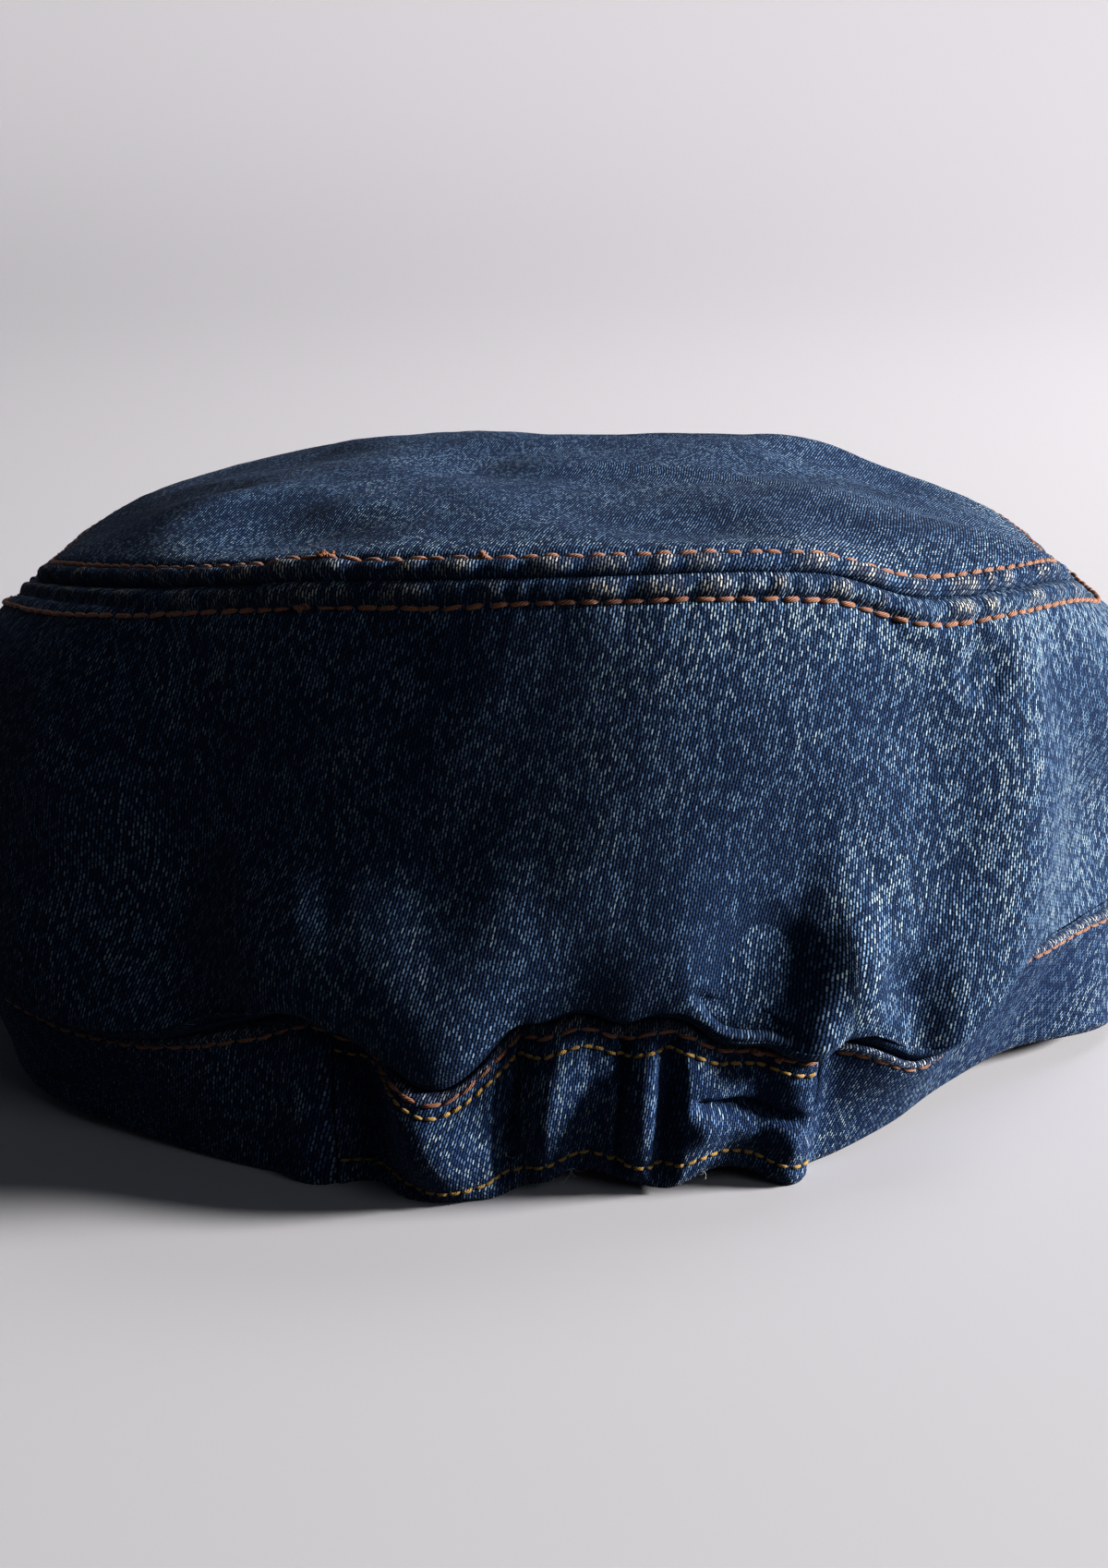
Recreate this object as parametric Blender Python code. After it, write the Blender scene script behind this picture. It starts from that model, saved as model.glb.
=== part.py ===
"""A denim work cap, lying on a table as it was put down.

The crown is an oval top panel and a soft side wall, sewn to a low headband. At the back the
band gives way to a gathered casing that holds an elastic, and at the front a stiffened peak is
sewn under the band. The cap is hollow and open below. Metres, +Z up, +Y towards the peak. The
origin is on the table, in the middle of the cap's footprint box.

Azimuth runs round the cap from the middle of the back, positive towards +X.
"""

import math

import bmesh
import bpy
from mathutils import Vector

# Sizes round the head
HEM_WIDTH = 0.196
HEM_DEPTH = 0.184
BAND_HEIGHT = 0.026
FRONT_LIFT = 0.0125

# Sizes of the crown
CROWN_WIDTH = 0.199
CROWN_DEPTH = 0.201
TIP_WIDTH = 0.190
TIP_DEPTH = 0.196
CROWN_HEIGHT = 0.1015

# Cloth
CLOTH = 0.0015
BAND_CLOTH = 0.0026
CASING_PROUD = 0.0010
SEAM_GAP = 0.0003

# Soft forms
ROLL_OUT = 0.0030
ROLL_SAG = 0.0020
ROLL_LEAST = 0.0040
GATHER_DEPTH = 0.0065
GATHER_REACH = 0.40
FOLD_DEPTH = 0.0070
TIP_DENT_DEPTH = 0.0050

# The gathered casing runs between these azimuths, in degrees
CASING_START = -22.0
CASING_END = 22.5

# The stiffened peak
PEAK_LENGTH = 0.056
PEAK_CLOTH = 0.0036
PEAK_HALF_SPAN = 62.0
PEAK_BLUNT = 0.14
PEAK_CROWN = 0.004
PEAK_LAND = 0.10

# Azimuth steps of the mesh, in degrees
FINE_STEP = 1.5
FINE_REACH = 30.0
COARSE_STEP = 5.0

# Sections of the cap, one row for each azimuth in degrees. hem_out, belly_out and tip_out are
# shares of the hem's, crown's and tip's ovals. hem_up is a share of FRONT_LIFT, flare and stand are
# the band's run outwards and upwards as shares of BAND_HEIGHT, tip_up is the height of the tip's
# seam as a share of CROWN_HEIGHT, and shoulder says how sharply the tip turns over at its edge.
SECTION_COLUMNS = (
    "azimuth", "hem_out", "hem_up", "flare", "stand", "belly_out", "tip_out", "tip_up", "shoulder",
)
SECTIONS = (
    (-180.0, 0.99, 1.00, 0.18, 0.95, 1.00, 1.00, 0.880, 2.6),
    (-150.0, 0.98, 0.93, 0.20, 0.93, 1.00, 1.00, 0.875, 2.8),
    (-120.0, 0.96, 0.68, 0.22, 0.92, 1.00, 1.00, 0.842, 2.9),
    (-90.0, 0.99, 0.36, 0.20, 0.86, 0.99, 1.00, 0.800, 2.8),
    (-62.0, 1.10, 0.16, 0.20, 0.74, 1.01, 1.01, 0.866, 2.8),
    (-42.0, 1.07, 0.06, 0.24, 0.76, 1.02, 1.01, 0.912, 3.4),
    (-22.0, 1.06, 0.00, 0.08, 1.09, 1.01, 1.00, 0.955, 4.6),
    (0.0, 1.02, 0.02, 0.04, 1.06, 1.00, 1.00, 0.976, 5.5),
    (22.0, 1.00, 0.01, 0.24, 0.94, 1.00, 1.00, 0.968, 5.0),
    (34.0, 0.96, 0.16, 0.42, 0.72, 0.99, 1.00, 0.910, 4.0),
    (46.0, 0.92, 0.36, 0.48, 0.92, 0.98, 1.00, 0.898, 3.2),
    (60.0, 0.91, 0.48, 0.42, 0.88, 0.99, 1.00, 0.876, 2.9),
    (76.0, 0.94, 0.42, 0.28, 0.86, 0.99, 1.00, 0.822, 2.7),
    (95.0, 0.94, 0.50, 0.22, 0.88, 0.99, 1.00, 0.785, 2.6),
    (120.0, 0.95, 0.72, 0.22, 0.92, 1.00, 1.00, 0.818, 2.8),
    (150.0, 0.98, 0.93, 0.20, 0.93, 1.00, 1.00, 0.872, 2.8),
)

# The side wall from the band's seam, where it lies on the band's upper edge, out over its own soft
# roll and up to the tip's seam. belly is how far it has swung out, and up its share of the height.
WALL_COLUMNS = ("along", "belly", "up")
WALL_ROWS = (
    (0.00, 0.00, 0.00),
    (0.07, 0.20, 0.00),
    (0.13, 0.50, 0.04),
    (0.24, 0.84, 0.17),
    (0.42, 1.00, 0.38),
    (0.62, 0.93, 0.62),
    (0.80, 0.66, 0.82),
    (0.92, 0.28, 0.95),
    (1.00, 0.00, 1.00),
)
WALL_STEPS = (0.0, 0.02, 0.07, 0.13, 0.24, 0.42, 0.62, 0.80, 0.93, 1.0)
TIP_STEPS = (0.0, 0.035, 0.08, 0.16, 0.32, 0.54, 0.78, 0.95)

# Gathers of the casing, one row for each fold: its azimuth and half width in degrees, how far it
# stands out at the hem and at the seam as shares of GATHER_DEPTH, and how far it lifts the seam as
# a share of BAND_HEIGHT.
GATHER_COLUMNS = ("azimuth", "half_width", "hem_out", "seam_out", "seam_up")
GATHERS = (
    (-24.5, 4.0, 0.35, 0.10, 0.06),
    (-19.0, 4.5, -0.50, -0.40, -0.10),
    (-12.0, 8.0, 0.45, 0.85, -0.38),
    (-4.6, 3.6, -0.75, -0.70, 0.00),
    (1.0, 4.6, -0.55, 0.15, 0.10),
    (6.0, 2.6, -0.30, -0.55, 0.04),
    (9.5, 4.6, 0.45, 0.20, 0.10),
    (15.0, 4.4, -0.90, -0.10, -0.03),
    (20.8, 4.0, 0.75, 0.30, -0.06),
    (28.0, 4.5, 0.00, 0.45, 0.08),
)

# Folds and dents of the side wall: azimuth, half width and lean in degrees, the stretch of the
# wall that it covers, and how far it stands out as a share of FOLD_DEPTH.
FOLD_COLUMNS = ("azimuth", "half_width", "lean", "low", "high", "out")
FOLDS = (
    (-36.0, 15.0, -10.0, 0.02, 0.58, -0.62),
    (-14.0, 15.0, -6.0, 0.00, 0.52, 0.42),
    (17.0, 8.0, 0.0, 0.09, 0.27, -0.55),
    (18.0, 10.0, 0.0, 0.30, 0.66, -0.30),
    (26.5, 5.5, 6.0, 0.00, 0.62, 0.42),
    (34.0, 6.0, 4.0, 0.06, 0.56, -0.50),
    (44.0, 9.0, 4.0, 0.10, 0.80, 0.36),
    (62.0, 12.0, 6.0, 0.00, 0.72, -0.62),
    (82.0, 12.0, 0.0, 0.08, 0.80, 0.25),
    (-78.0, 16.0, 6.0, 0.05, 0.80, 0.30),
    (-104.0, 14.0, -4.0, 0.00, 0.75, -0.50),
    (112.0, 13.0, 5.0, 0.00, 0.70, -0.45),
    (142.0, 14.0, 0.0, 0.05, 0.75, 0.30),
    (-146.0, 14.0, -5.0, 0.00, 0.72, -0.35),
    (180.0, 16.0, 0.0, 0.05, 0.75, 0.35),
)

# Dents of the tip, from its seam inwards, as shares of TIP_DENT_DEPTH.
TIP_DENT_COLUMNS = ("azimuth", "half_width", "near", "far", "up")
TIP_DENTS = (
    (-33.0, 16.0, -0.02, 0.36, -0.80),
    (-62.0, 18.0, 0.02, 0.55, 0.45),
    (14.0, 16.0, 0.03, 0.42, -0.35),
    (58.0, 20.0, 0.05, 0.60, -0.15),
    (118.0, 26.0, 0.00, 0.60, -0.90),
    (-122.0, 24.0, 0.00, 0.60, -0.50),
    (170.0, 34.0, 0.02, 0.70, -0.70),
)

DENIM = (0.045, 0.095, 0.205, 1.0)
DARK_DENIM = (0.030, 0.062, 0.150, 1.0)
DENIM_ROUGHNESS = 0.92


def named_rows(columns, rows):
    """The rows of a table as dicts, by the names of its columns."""
    return [dict(zip(columns, row)) for row in rows]


SECTION_ROWS = named_rows(SECTION_COLUMNS, SECTIONS)
WALL_TABLE = named_rows(WALL_COLUMNS, WALL_ROWS)
GATHER_ROWS = named_rows(GATHER_COLUMNS, GATHERS)
FOLD_ROWS = named_rows(FOLD_COLUMNS, FOLDS)
TIP_DENT_ROWS = named_rows(TIP_DENT_COLUMNS, TIP_DENTS)


def hermite(before, start, end, after, share):
    """A smooth curve from start to end, through four (place, value) pairs in order."""
    span = end[0] - start[0]
    slope_start = (end[1] - before[1]) / (end[0] - before[0])
    slope_end = (after[1] - start[1]) / (after[0] - start[0])
    t2 = share * share
    t3 = t2 * share
    return (
        (2 * t3 - 3 * t2 + 1) * start[1]
        + (t3 - 2 * t2 + share) * span * slope_start
        + (3 * t2 - 2 * t3) * end[1]
        + (t3 - t2) * span * slope_end
    )


def round_value(column, azimuth):
    """A section column's value at any azimuth, smooth all the way round."""
    azimuth = (azimuth + 180.0) % 360.0 - 180.0
    count = len(SECTION_ROWS)

    def pair(index):
        turns, row = divmod(index, count)
        return SECTION_ROWS[row]["azimuth"] + 360.0 * turns, SECTION_ROWS[row][column]

    index = max(i for i in range(count) if SECTION_ROWS[i]["azimuth"] <= azimuth)
    start, end = pair(index), pair(index + 1)
    share = (azimuth - start[0]) / (end[0] - start[0])
    return hermite(pair(index - 1), start, end, pair(index + 2), share)


def wall_value(column, along):
    """A wall column's value at any share of the way up the wall."""
    last = len(WALL_TABLE) - 1
    index = max(i for i in range(last) if WALL_TABLE[i]["along"] <= along)

    def pair(i):
        i = min(max(i, 0), last)
        return WALL_TABLE[i]["along"], WALL_TABLE[i][column]

    start, end = pair(index), pair(index + 1)
    share = (along - start[0]) / (end[0] - start[0])
    return hermite(pair(index - 1), start, end, pair(index + 2), share)


def bell(distance):
    """1 at the middle of a fold, falling smoothly to 0 at its edge."""
    if abs(distance) >= 1.0:
        return 0.0
    return (1.0 - distance * distance) ** 2


def smooth_larger(first, second):
    """The larger of two lengths, rounded off where they are alike."""
    return (first + second + math.hypot(first - second, ROLL_OUT)) / 2


def turn_between(azimuth, middle):
    """The shorter way from middle to azimuth, in degrees."""
    return (azimuth - middle + 180.0) % 360.0 - 180.0


def oval(width, depth, azimuth):
    """The radius of an oval, from its middle towards an azimuth."""
    angle = math.radians(azimuth)
    return 1.0 / math.hypot(math.sin(angle) / (width / 2), math.cos(angle) / (depth / 2))


def place(azimuth, radius, height):
    """The point at a radius and height above the table, in the cap's own frame."""
    angle = math.radians(azimuth)
    return Vector((radius * math.sin(angle), -radius * math.cos(angle), height))


def gathered(azimuth, column):
    """The sum of the gathers at an azimuth."""
    return sum(
        row[column] * bell(turn_between(azimuth, row["azimuth"]) / row["half_width"])
        for row in GATHER_ROWS
    )


def hem(azimuth):
    """Radius and height of the band's outer lower edge."""
    radius = round_value("hem_out", azimuth) * oval(HEM_WIDTH, HEM_DEPTH, azimuth)
    radius += GATHER_DEPTH * gathered(azimuth, "hem_out")
    return radius, FRONT_LIFT * max(0.0, round_value("hem_up", azimuth))


def band_seam(azimuth):
    """Radius and height of the band's outer upper edge, where the side wall is sewn on."""
    radius = round_value("hem_out", azimuth) * oval(HEM_WIDTH, HEM_DEPTH, azimuth)
    radius += BAND_HEIGHT * round_value("flare", azimuth)
    radius += GATHER_DEPTH * gathered(azimuth, "seam_out")
    rise = round_value("stand", azimuth) + gathered(azimuth, "seam_up")
    return radius, hem(azimuth)[1] + BAND_HEIGHT * rise


def tip_seam(azimuth):
    """Radius and height of the seam between the side wall and the tip."""
    radius = round_value("tip_out", azimuth) * oval(TIP_WIDTH, TIP_DEPTH, azimuth)
    return radius, CROWN_HEIGHT * round_value("tip_up", azimuth)


def folded(azimuth, along):
    """How far the side wall's folds push it out."""
    push = 0.0
    for row in FOLD_ROWS:
        middle = (row["low"] + row["high"]) / 2
        reach = (row["high"] - row["low"]) / 2
        across = turn_between(azimuth, row["azimuth"] + row["lean"] * along) / row["half_width"]
        push += row["out"] * bell(across) * bell((along - middle) / reach)
    return FOLD_DEPTH * push


def wall_point(azimuth, along):
    """A point of the side wall's outer face. Along is below 0 where it lies on the band's edge."""
    seam_radius, seam_height = band_seam(azimuth)
    seam_radius += CASING_PROUD
    seam_height += SEAM_GAP
    if along < 0.0:
        return place(azimuth, seam_radius + along * (BAND_CLOTH + CASING_PROUD), seam_height)
    tip_radius, tip_height = tip_seam(azimuth)
    belly_radius = round_value("belly_out", azimuth) * oval(CROWN_WIDTH, CROWN_DEPTH, azimuth)
    belly_radius = smooth_larger(belly_radius, seam_radius + ROLL_LEAST)
    belly, up = wall_value("belly", along), wall_value("up", along)
    gather = GATHER_DEPTH * gathered(azimuth, "seam_out")
    straight = seam_radius - gather + (tip_radius - seam_radius + gather) * along
    straight += gather * max(0.0, 1.0 - along / GATHER_REACH) ** 2
    radius = straight + (belly_radius - straight) * belly + folded(azimuth, along)
    radius += ROLL_OUT * math.sin(math.pi * min(1.0, along / 0.4) ** 0.5)
    height = seam_height + (tip_height - seam_height) * up - ROLL_SAG * bell((along - 0.07) / 0.05)
    return place(azimuth, radius, height)


def tip_point(azimuth, inwards):
    """A point of the tip's upper face, at a share of the way from its seam to its middle."""
    radius, height = tip_seam(azimuth)
    rise = 1.0 - (1.0 - inwards) ** round_value("shoulder", azimuth)
    dent = sum(
        row["up"]
        * bell(turn_between(azimuth, row["azimuth"]) / row["half_width"])
        * bell((inwards - (row["near"] + row["far"]) / 2) / ((row["far"] - row["near"]) / 2))
        for row in TIP_DENT_ROWS
    )
    height += (CROWN_HEIGHT - height) * rise + TIP_DENT_DEPTH * dent
    return place(azimuth, radius * (1.0 - inwards), height)


def crown_normal(azimuth, along):
    """The way out of the crown's outer face. Along runs up the wall to 1, and on over the tip."""
    step = 0.02 if along == 1.0 else 0.004

    def at(turn, share):
        if share <= 1.0:
            return wall_point(turn, share)
        return tip_point(turn, share - 1.0)

    across = at(azimuth + 0.3, along) - at(azimuth - 0.3, along)
    upwards = at(azimuth, along + step) - at(azimuth, along - step)
    return across.cross(upwards).normalized()


def azimuth_steps(start, end):
    """Azimuths from start to end, closer together near the gathered back."""
    steps = [start]
    while steps[-1] < end - 1e-6:
        here = turn_between(steps[-1], 0.0)
        near_back = -FINE_REACH <= here < FINE_REACH
        pace = FINE_STEP if near_back else COARSE_STEP
        steps.append(min(steps[-1] + pace, end))
    if len(steps) > 2 and steps[-1] - steps[-2] < 0.4 * FINE_STEP:
        del steps[-2]
    return steps


def casing_azimuths():
    return azimuth_steps(CASING_START, CASING_END)


def band_azimuths():
    return azimuth_steps(CASING_END, CASING_START + 360.0)


def ring_azimuths():
    """Every azimuth once: the casing's and the band's, which share their ends."""
    return casing_azimuths()[:-1] + band_azimuths()[:-1]


def fabric(name, colour):
    """A dull woven finish in one colour."""
    material = bpy.data.materials.new(name)
    material.use_nodes = True
    shader = material.node_tree.nodes["Principled BSDF"]
    shader.inputs["Base Color"].default_value = colour
    shader.inputs["Roughness"].default_value = DENIM_ROUGHNESS
    shader.inputs["Metallic"].default_value = 0.0
    return material


def loft(name, loops, closed, material, parent):
    """One closed solid through equal loops of points, joined up at its ends or capped there."""
    mesh = bpy.data.meshes.new(name)
    shape = bmesh.new()
    rings = [[shape.verts.new(point) for point in loop] for loop in loops]
    count = len(loops[0])
    pairs = list(zip(rings, rings[1:]))
    if closed:
        pairs.append((rings[-1], rings[0]))
    for first, second in pairs:
        for i in range(count):
            j = (i + 1) % count
            shape.faces.new((first[i], first[j], second[j], second[i]))
    if not closed:
        shape.faces.new(rings[0])
        shape.faces.new(tuple(reversed(rings[-1])))
    bmesh.ops.recalc_face_normals(shape, faces=shape.faces)
    bmesh.ops.triangulate(shape, faces=shape.faces)
    shape.to_mesh(mesh)
    shape.free()
    mesh.materials.append(material)
    mesh.shade_smooth()
    mesh.set_sharp_from_angle(angle=math.radians(40))
    piece = bpy.data.objects.new(name, mesh)
    bpy.context.scene.collection.objects.link(piece)
    piece.parent = parent
    return piece


def crown_side(material, parent):
    """The side wall: cloth that rolls out over the band and up to the tip's seam."""
    gap_share = SEAM_GAP / (CROWN_HEIGHT - BAND_HEIGHT)
    steps = [-1.0, *WALL_STEPS[:-1], 1.0 - gap_share]

    def section(azimuth):
        outer, inner = [], []
        for along in steps:
            point = wall_point(azimuth, along)
            if along <= 0.0:
                inwards = Vector((0.0, 0.0, CLOTH))
            else:
                inwards = -CLOTH * crown_normal(azimuth, 1.0 if along == steps[-1] else along)
            outer.append(point)
            inner.append(point + inwards)
        return outer + inner[::-1]

    return loft("crown_side", [section(a) for a in ring_azimuths()], True, material, parent)


def crown_tip(material, parent):
    """The oval top panel, a soft dome that turns down at its seam."""
    gap_share = SEAM_GAP / (TIP_WIDTH / 2)
    steps = [max(step, gap_share) for step in TIP_STEPS]
    azimuths = ring_azimuths()
    outer = [[tip_point(a, step) for a in azimuths] for step in steps]
    inner = [
        [
            tip_point(a, step) - CLOTH * crown_normal(a, 1.0 if step == gap_share else 1.0 + step)
            for a in azimuths
        ]
        for step in steps
    ]
    return loft("crown_tip", outer[::-1] + inner, False, material, parent)


def band_section(azimuth, proud):
    """The closed outline of the doubled band, from its hem up to the side wall's seam."""
    hem_radius, hem_height = hem(azimuth)
    seam_radius, seam_height = band_seam(azimuth)
    rows = (0.0, 0.12, 0.5, 0.88, 1.0)
    outer = [
        place(
            azimuth,
            hem_radius + (seam_radius - hem_radius) * row + proud,
            hem_height + (seam_height - hem_height) * row,
        )
        for row in rows
    ]
    inner = [point + place(azimuth, -BAND_CLOTH - proud, 0.0) for point in outer]
    return outer + inner[::-1]


def headband(material, parent):
    """The plain band, from one end of the casing round the front to the other."""
    ends = math.degrees(SEAM_GAP / (HEM_DEPTH / 2))
    azimuths = band_azimuths()
    azimuths[0] += ends / 2
    azimuths[-1] -= ends / 2
    return loft("headband", [band_section(a, 0.0) for a in azimuths], False, material, parent)


def elastic_casing(material, parent):
    """The gathered tunnel that holds the elastic at the back, a little proud of the band."""
    ends = math.degrees(SEAM_GAP / (HEM_DEPTH / 2))
    azimuths = casing_azimuths()
    azimuths[0] += ends / 2
    azimuths[-1] -= ends / 2
    sections = [band_section(a, CASING_PROUD) for a in azimuths]
    return loft("elastic_casing", sections, False, material, parent)


def peak(material, parent):
    """The stiffened peak, sewn under the band at the front, with a flat edge on the table."""
    steps = 24
    sloping = 1.0 - PEAK_LAND
    rows = (0.0, 0.36 * sloping, 0.74 * sloping, sloping, 1.0)

    def section(index):
        side = 2.0 * index / steps - 1.0
        azimuth = 180.0 + side * PEAK_HALF_SPAN
        root_radius, root_height = hem(azimuth)
        root_radius -= BAND_CLOTH
        root_height -= 2 * SEAM_GAP
        fullness = math.sqrt(max(PEAK_BLUNT**2, 1.0 - side * side))
        reach = PEAK_LENGTH * fullness
        edge_height = PEAK_CLOTH + (root_height - PEAK_CLOTH) * max(0.0, 1.0 - 1.25 * fullness**2)
        top = [place(azimuth, root_radius, root_height)]
        bottom = [top[0] - Vector((0.0, 0.0, PEAK_CLOTH))]
        for row in rows:
            down = min(1.0, row / sloping)
            height = root_height + (edge_height - root_height) * down
            height += PEAK_CROWN * fullness * bell(2 * down - 1.0)
            point = place(azimuth, root_radius + BAND_CLOTH + reach * row, height)
            top.append(point)
            bottom.append(point - Vector((0.0, 0.0, PEAK_CLOTH)))
        return top + bottom[::-1]

    return loft("peak", [section(i) for i in range(steps + 1)], False, material, parent)


def centre_on_footprint(parent, pieces):
    """Moves the cap so that the origin is under the middle of its footprint box."""
    points = [vertex.co for piece in pieces for vertex in piece.data.vertices]
    lowest = Vector([min(point[axis] for point in points) for axis in range(3)])
    highest = Vector([max(point[axis] for point in points) for axis in range(3)])
    middle = (lowest + highest) / 2
    parent.location = (-middle.x, -middle.y, -lowest.z)


def main():
    for thing in list(bpy.data.objects):
        bpy.data.objects.remove(thing, do_unlink=True)
    cap = bpy.data.objects.new("cap", None)
    bpy.context.scene.collection.objects.link(cap)
    denim = fabric("denim", DENIM)
    dark_denim = fabric("dark_denim", DARK_DENIM)
    pieces = [
        crown_tip(denim, cap),
        crown_side(denim, cap),
        headband(denim, cap),
        elastic_casing(dark_denim, cap),
        peak(denim, cap),
    ]
    centre_on_footprint(cap, pieces)


main()
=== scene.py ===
"""A denim work cap with a gathered elastic back, lying on a pale studio floor.

The cloth pieces follow the CAD frame's tables, with the folds, the puckered seams, the stitches
and the twill of the photo added. Azimuth runs round the cap from the middle of the back, positive
towards +X, in degrees. Lengths are in metres.
"""

import math

import bmesh
import bpy
import numpy as np
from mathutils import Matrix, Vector


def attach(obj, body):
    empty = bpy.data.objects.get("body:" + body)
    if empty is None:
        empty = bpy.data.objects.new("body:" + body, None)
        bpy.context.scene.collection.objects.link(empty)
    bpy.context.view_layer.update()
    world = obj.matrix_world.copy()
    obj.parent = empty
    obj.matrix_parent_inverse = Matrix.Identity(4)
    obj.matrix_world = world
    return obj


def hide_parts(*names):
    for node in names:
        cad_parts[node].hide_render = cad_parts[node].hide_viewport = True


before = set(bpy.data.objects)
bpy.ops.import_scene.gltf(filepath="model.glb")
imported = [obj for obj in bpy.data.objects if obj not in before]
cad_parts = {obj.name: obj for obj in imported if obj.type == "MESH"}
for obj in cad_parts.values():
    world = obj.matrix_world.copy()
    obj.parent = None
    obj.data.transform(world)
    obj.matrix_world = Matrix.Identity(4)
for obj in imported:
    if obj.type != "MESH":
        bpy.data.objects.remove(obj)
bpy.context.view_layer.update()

# The middle of the head's oval, in the row's frame
CENTRE_X = 0.0029
CENTRE_Y = -0.0192

# Sizes round the head
HEM_WIDTH = 0.196
HEM_DEPTH = 0.184
BAND_HEIGHT = 0.026
FRONT_LIFT = 0.0125

# Sizes of the crown
CROWN_WIDTH = 0.199
CROWN_DEPTH = 0.201
TIP_WIDTH = 0.190
TIP_DEPTH = 0.196
CROWN_HEIGHT = 0.1015

# Cloth and soft forms
CLOTH = 0.0013
BAND_CLOTH = 0.0026
CASING_PROUD = 0.0010
SEAM_GAP = 0.0003
ROLL_OUT = 0.0022
ROLL_SAG = -0.0016
ROLL_UNDERCUT = 0.0022
ROLL_LEAST = 0.0032
ROLL_START = 0.02
ROLL_REACH = 0.40
UNDERCUT_AT = 0.015
UNDERCUT_REACH = 0.035
SAG_AT = 0.07
SAG_REACH = 0.05
SAG_DEEPER = 0.6
GATHER_DEPTH = 0.0065
GATHER_REACH = 0.24
FOLD_DEPTH = 0.0070
TIP_DENT_DEPTH = 0.0050
CASING_START = -22.0
CASING_END = 22.5

# Mean radii of the seams and cloth pieces, for distances round them, and the wall's rise
SEAM_RADIUS = 0.097
WALL_RADIUS = 0.100
BAND_RADIUS = 0.094
TIP_CLOTH_RADIUS = 0.104
WALL_RISE = 0.078

# The seam round the tip: its two stitched rows and the puckered welts between them
ROW_OFF = 0.0039
RIM_RISE = 0.0034
WELT = 0.0011
PUCKER_PITCH = 0.0068
STITCH_DIP = 0.0005
STITCH_DIP_REACH = 0.0009
SEAM_GROOVE = 0.0006
RIM_SOFTNESS = 0.0022
RIM_FADE = 0.035
PUCKER_BEYOND = 0.0005
PUCKER_FADE = 0.0045
UNDER_SEAM = 0.0035

# The lap of the wall's two ends, at the left of the seam: the azimuths where it opens, is full,
# fades and shuts, how far its layers stand out, its wear and how much paler it is
LAP_SPAN = (-29.5, -27.5, -21.4, -19.4)
LAP_RISE = 0.0008
LAP_WEAR = 0.45
LAP_WEAR_AT = 0.0021
LAP_WEAR_REACH = 0.0019
LAP_PALER = 0.30

# Painted shadows across the seam at the lap's ends: azimuth, half width in degrees, how much
# darker
SEAM_PAINTED_SHADOWS = ((-19.4, 1.1, 1.4), (-31.0, 2.4, 0.8))
SEAM_SHADOW_REACH = 0.006
UNWORN_NICK = -19.0
UNWORN_HALF_WIDTH = 1.6

# The peak
PEAK_LENGTH = 0.056
PEAK_CLOTH = 0.0036
PEAK_HALF_SPAN = 62.0
PEAK_BLUNT = 0.14
PEAK_CROWN = 0.004
PEAK_WEAR = 0.18

# Threads
ORANGE_PITCH = 0.0034
GOLD_PITCH = 0.0021
ORANGE_THICK = 0.00075
GOLD_THICK = 0.00054
BAND_THREAD = 0.00060
KNOT_THICK = 0.00058
FIBRE_THICK = 0.00006
STITCH_SINK = 0.15

# The twist of a thread's pattern, for each ring of a stitch and for each of its sides
TWIST_STEP = 0.35
TWIST_TURN = 2.6

# Loose fibres of the casing: azimuth, share of its height, and how many
FIBRE_SPOTS = ((0.2, 0.02, 9), (-6.5, 0.30, 3), (12.5, 0.02, 3), (-2.0, 0.02, 2))

# Sections round the cap at azimuths in degrees: shares of the ovals' radii, of FRONT_LIFT, of
# BAND_HEIGHT and of CROWN_HEIGHT, and how squarely the tip turns over
SECTION_COLUMNS = (
    "azimuth", "hem_out", "hem_up", "flare", "stand", "belly_out", "tip_out", "tip_up", "shoulder",
)
SECTIONS = (
    (-180.0, 0.99, 1.00, 0.18, 0.95, 1.00, 1.00, 0.880, 2.6),
    (-150.0, 0.98, 0.93, 0.20, 0.93, 1.00, 1.00, 0.875, 2.8),
    (-120.0, 0.96, 0.68, 0.22, 0.92, 1.00, 1.00, 0.842, 2.9),
    (-90.0, 0.99, 0.36, 0.20, 0.86, 0.99, 1.00, 0.800, 2.8),
    (-62.0, 1.10, 0.16, 0.20, 0.74, 1.01, 1.01, 0.866, 2.8),
    (-42.0, 1.07, 0.06, 0.24, 0.76, 1.02, 1.01, 0.912, 3.4),
    (-22.0, 1.06, 0.00, 0.08, 1.09, 1.01, 1.00, 0.955, 4.6),
    (0.0, 1.02, 0.02, 0.04, 1.06, 1.00, 1.00, 0.976, 5.5),
    (22.0, 1.00, 0.01, 0.24, 0.94, 1.00, 1.00, 0.968, 5.0),
    (34.0, 0.96, 0.16, 0.42, 0.61, 0.99, 1.00, 0.910, 4.0),
    (46.0, 0.92, 0.36, 0.48, 0.92, 0.98, 1.00, 0.898, 3.2),
    (60.0, 0.93, 0.44, 0.35, 0.90, 0.99, 0.982, 0.876, 2.9),
    (76.0, 1.04, 0.26, 0.03, 0.94, 0.99, 0.942, 0.820, 2.7),
    (95.0, 1.03, 0.24, 0.03, 1.00, 0.99, 0.950, 0.788, 2.6),
    (120.0, 0.95, 0.72, 0.22, 0.92, 1.00, 1.00, 0.818, 2.8),
    (150.0, 0.98, 0.93, 0.20, 0.93, 1.00, 1.00, 0.872, 2.8),
)

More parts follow.
